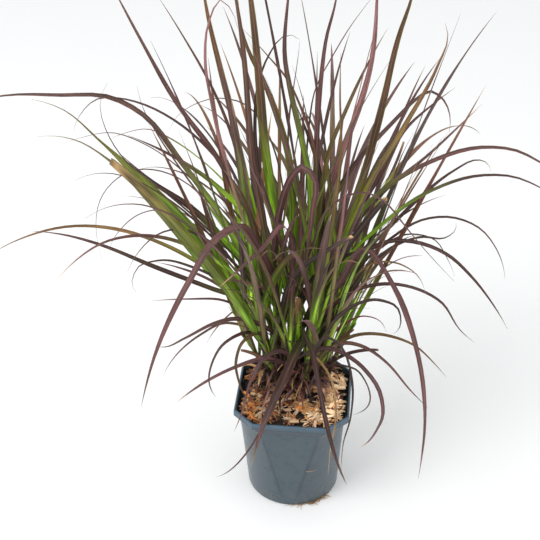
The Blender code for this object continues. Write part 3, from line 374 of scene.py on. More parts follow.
class Stem:
    """An upright shoot: straight in the mix, then leaning further out as it rises."""

    def __init__(self, number):
        share = math.sqrt((number + 0.5) / STEMS)
        turn = number * GOLDEN_ANGLE
        self.outward = np.array((math.cos(turn), math.sin(turn), 0))
        self.base = np.array((*CLUMP_MIDDLE, MIX_TOP)) + share * self.outward * (*CLUMP_RADII, 0)
        self.height = STEM_HEIGHT[0] + (STEM_HEIGHT[1] - STEM_HEIGHT[0]) * share
        lean = STEM_LEAN[0] + (STEM_LEAN[1] - STEM_LEAN[0]) * share
        self.spread = math.tan(math.radians(lean)) / 2
        self.share = share
        self.blades = []
        rows = np.array((-STEM_DEPTH / self.height, *STEM_WAISTS[:2], 0.36, 0.66, 0.98, 1.0))
        widths = np.interp(rows, STEM_WAISTS, STEM_WIDTH)
        widths[-1] *= 0.4
        self.shape = loft(self.places(rows)[:, None] + level_circle(STEM_SIDES) * widths[:, None, None] / 2)
        self.trees = [BVHTree.FromPolygons(self.shape[0].tolist(), self.shape[1])]

    def places(self, share):
        """Points of the middle line at shares of the height. Under the mix it runs straight on."""
        share = np.asarray(share, float)
        out = self.spread * (share + np.maximum(share, 0) ** 2)
        return self.base + self.height * (share[:, None] * (0, 0, 1) + out[:, None] * self.outward)


class Blade:
    """A leaf blade: its midrib's curve, heading, width, tint, and how it rolls from root to tip."""

    def __init__(self, route, heading, width, rolls, tint, cut=False):
        self.route = even_curve(route, ROUTE_POINTS)
        self.across = np.array((-math.sin(heading), math.cos(heading), 0))
        self.width = width
        self.rolls = rolls
        self.tint = tint
        self.cut = cut
        steps = np.diff(self.route, axis=0)
        self.length = np.linalg.norm(steps, axis=1).sum()
        steps = unit(steps)
        bends = np.arccos(np.clip((steps[1:] * steps[:-1]).sum(axis=1), -1, 1))
        self.rows = int(np.clip(round(4 + bends.sum() / 0.55 + self.length / 0.22), 5, 11))
        if width < 0.0028:
            self.rows = max(5, self.rows - 1)

    def face_the_eye(self, aside):
        """Rolls the blade, all along its length, to face the eye but for a small angle."""
        at = np.linspace(0, ROUTE_POINTS - 1, SEEN_TURNS).astype(int)
        ahead = np.gradient(self.route, axis=0)[at]
        upper = unit(np.cross(ahead, self.across))
        sight = EYE - self.route[at]
        turns = np.arctan2(-(sight @ self.across), (sight * upper).sum(axis=1))
        turns = np.unwrap(turns, period=math.pi)
        self.rolls = turns - math.pi * round(turns.mean() / math.pi) + aside

    def turned(self, s):
        """How far the blade has rolled about its midrib at shares of its length."""
        return np.interp(s, np.linspace(0, 1, len(self.rolls)), self.rolls)

    def frame(self, s):
        """Midrib points, and the directions ahead, across and outward, at shares of the length."""
        at = s * (ROUTE_POINTS - 1)
        middle, ahead = (
            np.column_stack([np.interp(at, np.arange(ROUTE_POINTS), axis) for axis in line.T])
            for line in (self.route, np.gradient(self.route, axis=0))
        )
        ahead = unit(ahead)
        upper = unit(np.cross(ahead, self.across))
        turn = self.turned(s)[:, None]
        side = self.across * np.cos(turn) + upper * np.sin(turn)
        face = upper * np.cos(turn) - self.across * np.sin(turn)
        return middle, ahead, side, face

    def half_widths(self, s, root=ROOT_WIDTH):
        """Half widths at shares of the length, and the share of them that the taper leaves.

        The width grows from the root over the first fifth, and falls towards the tip as 1 - s^3.4.
        """
        grown = np.minimum(1, s / GROWN_AT)
        taper = 1 - (CUT_TAPER if self.cut else 1) * s**TIP_POWER
        return (root + (self.width - root) * grown * (2 - grown)) * taper / 2, taper

    def sections(self, rows, swell=0.0):
        """Rings of three points: left edge, right edge and keel. A pointed tip is left off."""
        s = np.linspace(0, 1, rows + 1)
        if not self.cut:
            s = s[:-1]
        middle, _, side, face = self.frame(s)
        half = (self.half_widths(s)[0] + swell)[:, None]
        lift = half * EDGE_LIFT
        return np.stack(
            (
                middle - side * half + face * (lift + swell),
                middle - face * (KEEL + swell),
                middle + side * half + face * (lift + swell),
            ),
            axis=1,
        )

    def shape(self, swell=0.0, start=0):
        """Vertices and faces, with a flat root and either a point or a flat cut at the tip."""
        rings = self.sections(self.rows, swell)[start:]
        vertices, faces = loft(rings, top_cap=self.cut)
        if not self.cut:
            last, tip = len(vertices) - 3, len(vertices)
            vertices = np.vstack((vertices, self.route[-1]))
            faces += [(last, last + 1, tip), (last + 1, last + 2, tip), (last + 2, last, tip)]
        return vertices, faces

    def keeps_clear_of_pot(self):
        """True if the blade stays off the ground, outside the pot's wall and above its rim."""
        free = self.route[3:]
        if free[:, 2].min() < LOWEST or not LENGTHS[0] < self.length < LENGTHS[1]:
            return False
        if np.hypot(free[:, 0], free[:, 1]).max() > REACH:
            return False
        low = free[free[:, 2] < RIM_CLEAR_HEIGHT]
        return bool((np.abs(low[:, :2]).max(axis=1) > POT_KEEP_OUT).all())


def tree_of(shape):
    vertices, faces = shape
    return BVHTree.FromPolygons(vertices.tolist(), faces)


def stands_clear(blade, stem, stems):
    """True if the blade, made a little thicker, meets no other stem, and none of its own past its root."""
    if not blade.keeps_clear_of_pot():
        return False
    whole = tree_of(blade.shape(CLEARANCE))
    for other in stems:
        if other is not stem and any(whole.overlap(tree) for tree in other.trees):
            return False
    free = tree_of(blade.shape(CLEARANCE / 2, start=1 + int(FREE_FROM * blade.rows)))
    return not any(free.overlap(tree) for tree in stem.trees)


def add_blade(blade, stem):
    stem.blades.append(blade)
    stem.trees.append(tree_of(blade.shape()))


def grow_seen_blade(stems, width, heading, tint, places, aside, cut):
    """Roots the blade on a stem that is seen near its root, turned until it stands clear.

    Every sight line is met with the upright plane through the root that runs along the heading.
    """
    places = np.array(places, float)[::-1]
    lines = sight_lines(places)
    shares = np.linspace(0.24, 0.97, 24)
    turn = math.radians(heading) + SIGHT_TURN
    down = (places[0] - places[1]) / np.linalg.norm(places[0] - places[1])
    choices = []
    for stem in stems:
        points = stem.places(shares)
        gap = seen_places(points) - places[0]
        along = gap @ down
        beside = np.abs(gap @ (-down[1], down[0]))
        far = beside + LONGER * np.maximum(along, 0) - TURNED_BACK * np.minimum(along, 0)
        nearest = int(far.argmin())
        same_side = stem.share * (stem.outward[:2] @ (math.cos(turn), math.sin(turn)))
        cost = far[nearest] + CROWDED * max(0, len(stem.blades) - 3) - OUTER_GAIN * same_side
        choices.append((cost, nearest, points[nearest], stem))
    choices.sort(key=lambda choice: (choice[0], choice[1]))
    for _, _, root, stem in choices[:STEM_TRIALS]:
        for change in HEADING_TRIALS:
            turn = math.radians(heading + change) + SIGHT_TURN
            across = np.array((-math.sin(turn), math.cos(turn), 0))
            reach = across @ (root - EYE) / (lines @ across)
            points = EYE + lines * reach[:, None]
            points = points[np.linalg.norm(points - root, axis=1) > ROOT_STEP]
            if len(points) < 2 or (reach <= 0).any():
                continue
            blade = Blade(np.vstack((root, points)), turn, SEEN_GAIN * width / 1000, (0, 0), tint, cut)
            blade.face_the_eye(aside)
            if stands_clear(blade, stem, stems):
                add_blade(blade, stem)
                return True
    return False


def drawn_route(root, heading, length, lean, droop):
    """A route that tips from its lean at the root to its droop at the tip, faster towards the tip."""
    share = np.linspace(0, 1, 16)
    tilt = lean + (droop - lean) * share**1.5
    step = length / (len(share) - 1)
    out = np.concatenate(([0], np.cumsum(np.sin(tilt[1:])))) * step
    rise = np.concatenate(([0], np.cumsum(np.cos(tilt[1:])))) * step
    return root + np.column_stack((out * math.cos(heading), out * math.sin(heading), rise))


def grow_drawn_blades(stems, rng):
    """Fills up each stem with blades drawn by rule to the back and the front, with one at its top."""
    for level in range(BLADES_PER_STEM):
        for stem in stems:
            if len(stem.blades) >= BLADES_PER_STEM or len(stem.blades) > level + 2:
                continue
            for _ in range(DRAWN_TRIALS):
                _, headings, droops = rng.choices(DRAWN_KINDS, [kind[0] for kind in DRAWN_KINDS])[0]
                heading = math.radians(rng.uniform(*headings))
                droop = math.radians(rng.uniform(*droops))
                lean = math.radians(rng.uniform(*DRAWN_LEAN))
                length = rng.uniform(*DRAWN_LENGTH)
                root = stem.places([rng.uniform(0.30, 0.97)])[0]
                width = rng.uniform(*DRAWN_WIDTH)
                rolls = (rng.uniform(-1.0, 1.0), rng.uniform(-0.6, 0.6))
                tint = rng.choice(DRAWN_TINTS)
                blade = Blade(drawn_route(root, heading, length, lean, droop), heading, width, rolls, tint)
                if stands_clear(blade, stem, stems):
                    add_blade(blade, stem)
                    break


def bare_stems():
    return [Stem(number) for number in range(STEMS)]


def grow_plant():
    """Every stem with its blades: those that are seen from the front first, then the drawn ones."""
    rng = random.Random(DRAWN_SEED)
    stems = bare_stems()
    for table, cut in ((SEEN_BLADES, False), (CUT_BLADES, True)):
        for width, heading, tint, places in table:
            grow_seen_blade(stems, width, heading, tint, places, rng.uniform(-SEEN_ASIDE, SEEN_ASIDE), cut)
    grow_drawn_blades(stems, rng)
    return stems


# Colours of a blade as seen: at its root, its middle and its tip, and along its margins.
LEAF_TINTS = {
    "plum": ((180, 248, 36), (94, 58, 60), (98, 61, 68), (60, 34, 43)),
    "wine": ((116, 148, 38), (77, 48, 53), (98, 63, 71), (54, 33, 42)),
    "russet": ((180, 246, 36), (112, 71, 58), (118, 76, 69), (76, 45, 46)),
    "night": ((80, 96, 30), (49, 34, 35), (58, 40, 43), (35, 23, 27)),
    "moss": ((122, 180, 38), (118, 130, 46), (120, 102, 56), (84, 74, 40)),
    "green": ((184, 250, 38), (168, 232, 40), (116, 72, 54), (92, 96, 38)),
    "silver": ((128, 174, 48), (132, 158, 76), (124, 106, 88), (90, 96, 52)),
    "olive": ((180, 246, 34), (116, 86, 48), (116, 76, 60), (82, 54, 44)),
    "straw": ((112, 86, 56), (164, 126, 84), (206, 166, 112), (140, 106, 72)),
    "pink": ((120, 122, 54), (132, 88, 90), (128, 84, 92), (84, 48, 57)),
    "red": ((116, 78, 36), (144, 40, 46), (124, 48, 50), (92, 28, 34)),
}
DARK_TINTS = ("night", "wine")
THREAD_TINTS = ("moss", "silver")  # these blades narrow to a thread
THREAD_NARROWING = 0.72  # they lose this share of their width
THREAD_BAND = (0.58, 0.80)  # between these shares of their length
TIP_ENDS = {  # the share of the length where the tip's colour is full, if that is before the tip
    "green": (0.45, 0.62),
    "moss": (0.70, 0.90),
    "silver": (0.60, 0.75),
}
FOOT_TINT = (60, 44, 35)
FOOT_BAND = (BED_TOP + 0.022, BED_TOP + 0.095)  # blades are that brown below and have none of it above
DRY_TINT = (206, 166, 116)
TORN_TINT = (118, 92, 58)
FRESH_TINT = (166, 242, 36)
SHEATH_TINTS = ((84, 106, 38), (66, 50, 40), (92, 112, 40), (54, 34, 40), (96, 82, 50), (72, 44, 48))
CHIP_TINTS = (  # from blond to burnt orange
    (248, 216, 174), (240, 200, 152), (228, 192, 156), (222, 176, 126), (228, 172, 106), (196, 138, 88),
    (208, 128, 62), (156, 98, 58),
)
BARK_TINTS = ((104, 66, 50), (84, 56, 46), (122, 72, 50), (70, 50, 42))
ROOT_TINTS = ((196, 160, 104), (168, 128, 78), (120, 88, 58))


def linear(colours):
    """Screen colours, 0 to 255, as linear light: ((c + 0.055) / 1.055)^2.4, or c / 12.92 low down."""
    share = np.asarray(colours, float) / 255
    return np.where(share > 0.04045, ((share + 0.055) / 1.055) ** 2.4, share / 12.92)


def smooth_step(low, high, values):
    """0 below low, 1 above high, and 3 t^2 - 2 t^3 between them."""
    t = np.clip((np.asarray(values, float) - low) / (high - low), 0, 1)
    return t * t * (3 - 2 * t)


def towards(colour, target, share):
    """Rows of colours, each moved towards the target by its share."""
    return colour + (target - colour) * share[:, None]


def hashed(cells):
    """Fixed values from 0 to 1 for whole-numbered cells: the broken part of a large multiple of a sine."""
    return np.abs(np.sin(cells @ np.array((127.1, 311.7, 74.7))) * 43758.5453) % 1


def value_noise(points):
    """Smooth noise from -1 to 1: the values of a cell's eight corners, blended by t^2 (3 - 2 t) each way."""
    points = np.asarray(points, float)
    cell = np.floor(points)
    t = smooth_step(0, 1, points - cell)
    total = 0
    for corner in np.ndindex(2, 2, 2):
        weight = np.prod(np.where(corner, t, 1 - t), axis=-1)
        total = total + weight * hashed(cell + corner)
    return total * 2 - 1


class Skin:
    """Closed surfaces gathered for one mesh, with a colour and a pattern place at every point."""

    def __init__(self):
        self.points, self.tints, self.places, self.quads, self.caps = [], [], [], [], []
        self.count = 0

    def add_tube(self, grid, tint, place):
        """A grid of rings, closed round each ring and capped flat at both ends.

        Rings run anticlockwise seen from the end that they go towards.
        """
        rows, sides = grid.shape[:2]
        number = self.count + np.arange(rows * sides).reshape(rows, sides)
        beside = np.roll(number, -1, axis=1)
        quads = np.stack((number[:-1], beside[:-1], beside[1:], number[1:]), axis=-1)
        self.quads.append(quads.reshape(-1, 4))
        self.caps += [number[0, ::-1], number[-1]]
        self.points.append(grid.reshape(-1, 3))
        self.tints.append(np.broadcast_to(tint, (rows, sides, 3)).reshape(-1, 3))
        self.places.append(np.broadcast_to(place, (rows, sides, 2)).reshape(-1, 2))
        self.count += rows * sides

    def piece(self, name, material, slot, replaced=()):
        """Writes the surfaces to a mesh object that rides with the pot, with the material; the slot is not
        used.
        """
        points, tints = np.concatenate(self.points), np.concatenate(self.tints)
        places, quads = np.concatenate(self.places), np.concatenate(self.quads)
        corners = np.concatenate((quads.ravel(), *self.caps))
        sizes = np.concatenate((np.full(len(quads), 4), [len(cap) for cap in self.caps])).astype(int)
        mesh = bpy.data.meshes.new(name)
        mesh.vertices.add(len(points))
        mesh.vertices.foreach_set("co", points.ravel())
        mesh.loops.add(len(corners))
        mesh.loops.foreach_set("vertex_index", corners.astype(np.int32))
        mesh.polygons.add(len(sizes))
        starts = np.concatenate(([0], np.cumsum(sizes)[:-1]))
        mesh.polygons.foreach_set("loop_start", starts.astype(np.int32))
        mesh.update(calc_edges=True)
        tint = mesh.attributes.new("tint", "FLOAT_COLOR", "POINT")
        tint.data.foreach_set("color", np.column_stack((tints, np.ones(len(tints)))).ravel())
        leaf = mesh.uv_layers.new(name="grain")
        leaf.data.foreach_set("uv", places[corners].ravel())
        mesh.validate()
        mesh.shade_smooth()
        mesh.set_sharp_from_angle(angle=math.radians(50))
        thing = bpy.data.objects.new(name, mesh)
        bpy.context.scene.collection.objects.link(thing)
        mesh.materials.append(material)
        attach(thing, "root")
        if replaced:
            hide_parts(*replaced)
        return thing


def pattern(across, along):
    """Pattern places of a grid's points, from the numbers across and along the surface."""
    return np.stack(np.broadcast_arrays(across, along), axis=-1)


def blade_tint(blade, s, t, rng):
    """Colour over a blade: three stops along it, with the margin's colour near its edges.

    The middle stop is reached at a share drawn for the blade, and a slow wave along it mixes in green. The
    blade is brown near the bed, and some blades are dry at the tip. A low blade has a darker, browner root.
    """
    root, middle, tip, margin = linear(LEAF_TINTS[blade.tint])
    rise = blade.route[-1, 2] - blade.route[0, 2]
    greenish = smooth_step(0.02, 0.22, rise) * rng.uniform(0.55, 1.0)
    root = middle * 0.8 + (root - middle * 0.8) * greenish
    root_start = rng.uniform(0.12, 0.34) if rng.random() < 0.45 and blade.tint not in DARK_TINTS else 0.0
    root_end = root_start + rng.uniform(0.25, 0.60)
    tip_end = rng.uniform(*TIP_ENDS.get(blade.tint, (0.98, 1.0)))
    colour = towards(root, middle, smooth_step(root_start, root_end, s))
    colour = towards(colour, tip, smooth_step(tip_end - 0.35, tip_end, s))
    wave = value_noise(np.column_stack((s * 3.1 + rng.random() * 40, s * 0, s * 0)))
    most = 0.15 if blade.tint in DARK_TINTS else 0.6
    greener = rng.uniform(0.0, most) * smooth_step(-0.1, 0.7, wave) * (1 - s) ** 1.7 * greenish
    colour = towards(colour, linear(FRESH_TINT), greener)
    height = np.interp(s, np.linspace(0, 1, ROUTE_POINTS), blade.route[:, 2])
    low = 1 - smooth_step(*FOOT_BAND, height)
    colour = towards(colour, linear(FOOT_TINT), 0.72 * low * (1 - smooth_step(0.14, 0.38, s)))
    if blade.tint == "straw" or rng.random() < 0.35:
        colour = towards(colour, linear(DRY_TINT), smooth_step(rng.uniform(0.88, 0.97), 1.0, s))
    if blade.cut:
        edge_tint = linear(TORN_TINT if blade.tint == "moss" else DRY_TINT)
        colour = towards(colour, edge_tint, smooth_step(0.965, 0.99, s))
    edge = smooth_step(0.45, 1.0, np.abs(t))[None, :, None] * rng.uniform(0.5, 1.0)
    colour = colour[:, None] * (1 - edge) + margin * edge
    return colour * rng.uniform(0.74, 1.2) ** 2.2


def blade_surface(blade, rows, rng, ruffle):
    """A thin closed leaf: rings of points round a shallow channel with a raised midrib beneath.

    Across, t runs from -1 to 1 over the upper face and back under it. The half width is that of the solid
    blade, w(s) = (root + (width - root) g (2 - g)) (1 - s^3.4) / 2 with g = s / 0.2 up to 1, and a blade of a
    thread tint is narrower by 72% past four fifths of its length. The upper face stands above the midrib by
    lift |t|^1.4, the lower face lies under it by a thickness that falls from the midrib's keel to the margin,
    and the margins wave by a sine along the length. A cut blade's last ring is drawn back in places, by up
    to 0.56 of its width, as where a leaf tears.
    """
    half_t = np.array((0.0, 0.16, 0.45, 0.78, 1.0))
    upper_t = np.concatenate((-half_t[::-1], half_t[1:]))
    t = np.concatenate((upper_t, upper_t[-2:0:-1]))
    under = np.arange(len(t)) >= len(upper_t)
    end = 1.0 if blade.cut else 0.997
    s = np.linspace(0, end, rows)
    middle, ahead, side, face = blade.frame(s)
    half, taper = blade.half_widths(s, max(ROOT_WIDTH, min(0.0042, blade.width * 0.75)))
    if blade.tint in THREAD_TINTS and not blade.cut:
        half = half * (1 - THREAD_NARROWING * smooth_step(*THREAD_BAND, s))
    half = np.maximum(half, 0.00012)
    phase, pitch = rng.uniform(0, 6.28), rng.uniform(7, 13)
    wave = ruffle * np.sin(phase + s * blade.length * 100 * 6.28 / pitch) * smooth_step(0.1, 0.4, s) * taper
    channel = EDGE_LIFT * (1 + 1.2 * (1 - smooth_step(0.0, 0.25, s)))
    rise = (half * channel)[:, None] * np.abs(t) ** 1.4 + wave[:, None] * t * np.abs(t)
    keel = 0.0007 * np.maximum(taper, 0.1)[:, None] * np.exp(-((t / 0.16) ** 2))
    depth = (0.00016 + 0.00016 * (1 - t**2)) * np.maximum(taper, 0.15)[:, None] + keel
    lift = rise - np.where(under, depth, 0)
    grid = middle[:, None] + side[:, None] * (half[:, None] * t)[..., None] + face[:, None] * lift[..., None]
    if blade.cut:
        torn = np.interp(t, np.linspace(-1, 1, 7), [rng.uniform(-0.8, 0.1) for _ in range(7)])
        grid[-1] += ahead[-1] * (torn * blade.width * 0.7)[:, None]
    place = pattern(t * 0.5 + 0.5, (s * blade.length)[:, None] + rng.random() * 50)
    return grid[:, ::-1], blade_tint(blade, s, t, rng)[:, ::-1], place[:, ::-1]


def culm_surface(stem, rng, sides=12):
    """The upright shoot: rings about its middle line, with a step in their radius at each blade's sheath.

    The radius is the solid shoot's, plus a collar that grows from 0 to 0.6 mm towards each blade's root and
    drops back just above it.
    """
    roots = sorted(blade.root_share for blade in stem.blades)
    own = [share for share in roots if share < 0.97]
    at_roots = [root + step for root in own for step in (-0.012, 0, 0.006)]
    share = np.unique(np.concatenate(([-STEM_DEPTH / stem.height], np.linspace(0, 1.0, 30), at_roots)))
    radius = np.interp(share, STEM_WAISTS, STEM_WIDTH) / 2
    radius = np.where(share < 0, radius, radius * (1 + 0.05 * np.sin(share * 40 + rng.uniform(0, 6))))
    below = np.searchsorted(own, share - 1e-9)
    edges = np.array([0.02, *own, 1.1])
    grown = np.clip((share - edges[below]) / (edges[below + 1] - edges[below]), 0, 1)
    collar = 0.0006 * smooth_step(0.02, 0.12, share) * grown**2 * (share < own[-1] + 0.001 if own else 0)
    radius = (radius + collar) * np.where(share > 0.985, 0.45, 1.0)
    grid = stem.places(share)[:, None] + level_circle(sides) * radius[:, None, None]
    tints = linear(SHEATH_TINTS)[np.array([rng.randrange(len(SHEATH_TINTS)) for _ in range(len(own) + 2)])]
    colour = tints[below] * (0.7 + 0.4 * grown)[:, None]
    foot = 1 - smooth_step(0.22, 0.70, share)[:, None]
    colour = colour * (1 - foot) + linear(FOOT_TINT) * foot
    around = np.abs(np.linspace(-1, 1, sides, endpoint=False)) * 1.3
    return grid, colour[:, None], pattern(around, (share * stem.height)[:, None] + rng.random() * 50)


def sheath_surface(stem, blade, rng):
    """A leaf sheath: a channel round the shoot that opens upwards and turns into the blade's foot.

    Rings go up the shoot's middle line. Across, the angle runs 150 degrees each way from the blade's side
    at the bottom and 62 degrees each way at the top. The outer face lies 0.4 mm off the shoot at the bottom
    and 1.1 mm off it at the top, and the inner face 0.35 mm inside the outer one.
    """
    top = min(0.99, blade.root_share + 0.02)
    low = max(0.015, top - rng.uniform(0.24, 0.42))
    rows = 10
    share = np.linspace(low, top, rows)
    u = np.linspace(0, 1, rows)
    radius = np.interp(share, STEM_WAISTS, STEM_WIDTH) / 2 + 0.0004 + 0.0007 * u**3
    heading = math.atan2(-blade.across[0], blade.across[1])
    reach = np.radians(150 - 88 * u**1.5)
    t = np.linspace(-1, 1, 9)
    angle = heading + reach[:, None] * t
    outward = np.stack((np.cos(angle), np.sin(angle), np.zeros_like(angle)), axis=-1)
    middle = stem.places(share)[:, None]
    outer = middle + outward * radius[:, None, None]
    inner = middle + outward * (radius - 0.00035)[:, None, None]
    grid = np.concatenate((outer, inner[:, ::-1]), axis=1)
    root, shade, _, margin = linear(LEAF_TINTS[blade.tint])
    pale = smooth_step(0.86, 1.0, u)[:, None]
    low_down = smooth_step(0.20, 0.60, share)[:, None]
    root = shade * 0.5 + (root * 0.55 - shade * 0.5) * low_down
    base = (shade * 0.45 + linear((78, 54, 44)) * 0.35) * (1 - u)[:, None] + root * u[:, None]
    colour = base * (1 - 0.3 * pale) + linear((170, 160, 100)) * 0.3 * pale * low_down
    edge = np.abs(np.concatenate((t, t[::-1])))[None, :, None] ** 3 * 0.5
    colour = (colour[:, None] * (1 - edge) + margin * edge) * rng.uniform(0.75, 1.15)
    around = np.concatenate((t, t[::-1])) * 0.5 + 0.5
    return grid, colour, pattern(around, (share * stem.height)[:, None] + rng.random() * 50)


def root_surface(points, radius, rng):
    """A thin round root: rings of six points about a smooth line, thinner towards its end."""
    rings = 16
    middle = even_curve(points, rings)
    ahead = unit(np.gradient(middle, axis=0))
    beside = unit(np.cross(ahead, (0.3, 0.2, 1.0)))
    above = unit(np.cross(beside, ahead))
    turns = np.arange(6) * math.pi / 3
    width = radius * (1 - 0.75 * np.linspace(0, 1, rings))[:, None, None]
    circle = np.cos(turns)[:, None] * beside[:, None] + np.sin(turns)[:, None] * above[:, None]
    place = pattern(np.arange(6) / 6, np.linspace(0, 0.05, rings)[:, None] + rng.random() * 9)
    tint = linear(ROOT_TINTS[rng.randrange(len(ROOT_TINTS))]) * rng.uniform(0.7, 1.1)
    return middle[:, None] + circle * width, tint, place


def bed_heights(x, y):
    """Height of the bed: level near the wall, rising evenly to the mound's flat top round the stems."""
    stretch = CLUMP_RADII[0] / CLUMP_RADII[1]
    far = np.hypot(x - CLUMP_MIDDLE[0], (y - CLUMP_MIDDLE[1]) * stretch)
    return BED_TOP + MOUND * np.clip(1 - (far - MOUND_WIDTH / 2) / (MOUND_WIDTH / 2), 0, 1)


def level_rings(heights, widths, roundness, fine=16, rounding=3):
    """Level rings between the rim's shape, a square with cut corners, and a circle.

    A quarter is half of one flat, a corner and half of the next flat. Its points lie on straight lines for
    the rim and on the circle for the base, and roundness mixes the two. They stand closer towards the ends of
    the flats, by a sine. Neighbours are averaged to round the corners' edges.
    """
    half = np.asarray(widths, float)[:, None] / 2
    mix = np.asarray(roundness, float)[:, None]
    flat = half * (1 - 2 * RIM_CUT / RIM_WIDTH)
    along = np.sin(np.linspace(0, math.pi / 2, fine, endpoint=False))
    corner = (1 - np.cos(np.linspace(0, math.pi, 2 * fine, endpoint=False))) / 2
    back = 1 - np.cos(np.linspace(0, math.pi / 2, fine, endpoint=False))
    straight_x = np.hstack((half + 0 * along, half + (flat - half) * corner, flat * (1 - back)))
    straight_y = np.hstack((flat * along, flat + (half - flat) * corner, half + 0 * along))
    angle = np.radians(np.concatenate((
        BASE_FLAT * along, BASE_FLAT + (90 - 2 * BASE_FLAT) * corner, 90 - BASE_FLAT + BASE_FLAT * back
    )))
    x = (1 - mix) * straight_x + mix * half * np.cos(angle)
    y = (1 - mix) * straight_y + mix * half * np.sin(angle)
    x, y = np.hstack((x, -y, -x, y)), np.hstack((y, x, -y, -x))
    for _ in range(rounding):
        x = (np.roll(x, 1, axis=1) + 2 * x + np.roll(x, -1, axis=1)) / 4
        y = (np.roll(y, 1, axis=1) + 2 * y + np.roll(y, -1, axis=1)) / 4
    z = np.broadcast_to(np.asarray(heights, float)[:, None], x.shape)
    return np.stack((x, y, z), axis=-1)


def pot_profile():
    """Rows of height, width and roundness from the base up over the rim and down inside to the floor.

    Between the base and the steps the width and the roundness change evenly. Corners of the profile are
    quarter rounds of a few rows each.
    """
    band = POT_HEIGHT - RIM_BAND
    ledge = band - STEP_BAND
    inside = RIM_WIDTH - 2 * RIM_LIP
    rows = []

    def round_corner(height, width, mix, rise, widen, start, end, count=6):
        for turn in np.radians(np.linspace(start, end, count)):
            rows.append((height + rise * (1 - math.sin(turn)), width + widen * (1 - math.cos(turn)), mix))

    def body(height):
        share = height / ledge
        return BASE_WIDTH + (BODY_WIDTH - BASE_WIDTH) * share, 1 + (BODY_ROUNDNESS - 1) * share

    for turn in np.radians(np.linspace(0, 90, 6)):
        height = BASE_ROUND * (1 - math.cos(turn))
        width, mix = body(height)
        rows.append((height, width - 2 * BASE_ROUND * (1 - math.sin(turn)), mix))
    rows += [(height, *body(height)) for height in np.linspace(0.006, ledge - 0.0030, 22)]
    for turn in np.radians(np.linspace(0, 90, 5)):
        share = 1 - math.cos(turn)
        height = ledge - LEDGE_ROUND + LEDGE_ROUND * math.sin(turn)
        width, mix = body(height)
        rows.append((height, width + (STEP_WIDTH - 2 * STEP_ROUND - width) * share, mix / 2))
    round_corner(ledge, STEP_WIDTH, BODY_ROUNDNESS / 2, STEP_ROUND, -2 * STEP_ROUND, 90, 0, 5)
    rows.append((band - 0.0008, STEP_WIDTH + 0.0006, 0.04))
    rows.append((band - 0.0001, STEP_WIDTH + 0.0012, 0.02))
    round_corner(band, RIM_WIDTH, 0.0, BAND_ROUND, -2 * BAND_ROUND, 90, 0)
    round_corner(POT_HEIGHT, RIM_WIDTH, 0.0, -OUTER_ROUND, -2 * OUTER_ROUND, 0, 90)
    round_corner(POT_HEIGHT, inside, 0.0, -INNER_ROUND, 2 * INNER_ROUND, 90, 0)
    rows.append((band + 0.001, inside, 0.0))
    rows.append((ledge + 0.001, body(ledge)[0] - 2 * WALL + 0.004, BODY_ROUNDNESS / 2))
    for height in np.linspace(ledge - 0.002, FLOOR, 12):
        width, mix = body(height)
        rows.append((height, width - 2 * WALL, mix))
    return np.array(rows)


def pot_surface():
    """The pot's rings, creased where the flats end, and places that run round and up the wall.

    A crease is an inward dent of depth 0.45 mm times exp(-(d / 1.9 mm)^2), d being the distance from the line
    along which a flat ends, and fades out at the base and under the steps. The tint is darker in it as
    painted shade, bluer on the rim, and lighter along the rim's upper edge as a painted highlight.
    """
    rows = pot_profile()
    fine = 18
    grid = level_rings(rows[:, 0], rows[:, 1], rows[:, 2], fine)
    ends = np.concatenate([quarter * 4 * fine + np.array((fine, 3 * fine)) for quarter in range(4)])
    away = np.linalg.norm(grid[:, :, None] - grid[:, None, ends], axis=-1).min(axis=-1)
    height = grid[..., 2]
    outside = (np.arange(len(rows)) < rows[:, 0].argmax())[:, None]
    fade = smooth_step(0.004, 0.030, height) * (1 - smooth_step(0.112, 0.130, height)) * outside
    crease = np.exp(-((away / 0.0019) ** 2)) * fade
    outward = grid * (1, 1, 0) / np.linalg.norm(grid[..., :2], axis=-1)[..., None]
    grid = grid - outward * (crease * 0.00045)[..., None]
    bluer = smooth_step(POT_HEIGHT - RIM_BAND, POT_HEIGHT - RIM_BAND + 0.003, height)[..., None]
    # A painted highlight: the tint is lighter along the rim's upper edge, where the light would catch it.
    painted_rim_highlight = smooth_step(POT_HEIGHT - 0.0045, POT_HEIGHT - 0.0020, height)[..., None] * outside[..., None]
    # The crease darkens the tint by up to 30%: painted shade in the creases.
    tint = (1 - 0.30 * crease)[..., None] * (1 + bluer * (-0.26, -0.10, 0.06) + painted_rim_highlight * (0.40, 0.48, 0.54))
    return grid, tint, pattern(np.linspace(0, 1, grid.shape[1]), height)


def soil_surface():
    """Crumbly soil: rings that shrink to the middle, at the bed's height plus noise in three sizes."""
    inset = 1 - np.linspace(0, 1, 70) ** 1.1 * 0.985
    ring = level_rings([BED_TOP], [RIM_WIDTH - 2 * RIM_LIP - 0.009], [0.06], fine=22)[0]
    top = ring * (1, 1, 0) * inset[:, None, None]
    x, y = top[..., 0], top[..., 1]
    crumbs = sum(
        size * np.abs(value_noise(np.stack((x / pitch, y / pitch, x * 0 + pitch), axis=-1)))
        for pitch, size in ((0.011, 0.0016), (0.0042, 0.0014), (0.0019, 0.0008))
    )
    top[..., 2] = bed_heights(x, y) + crumbs
    skirt = ring * (1, 1, 0) + (0, 0, MIX_TOP + 0.0004)
    shade = value_noise(np.stack((x / 0.003, y / 0.003, x * 0 + 3), axis=-1))[..., None]
    tint = linear((38, 29, 24)) * (1 + 0.5 * shade)
    tint = tint + linear((92, 62, 40)) * 0.35 * smooth_step(0.45, 0.9, shade)
    grid = np.concatenate((skirt[None], top))
    tint = np.concatenate((tint[:1], tint))
    return grid, tint, grid[..., :2] * 10


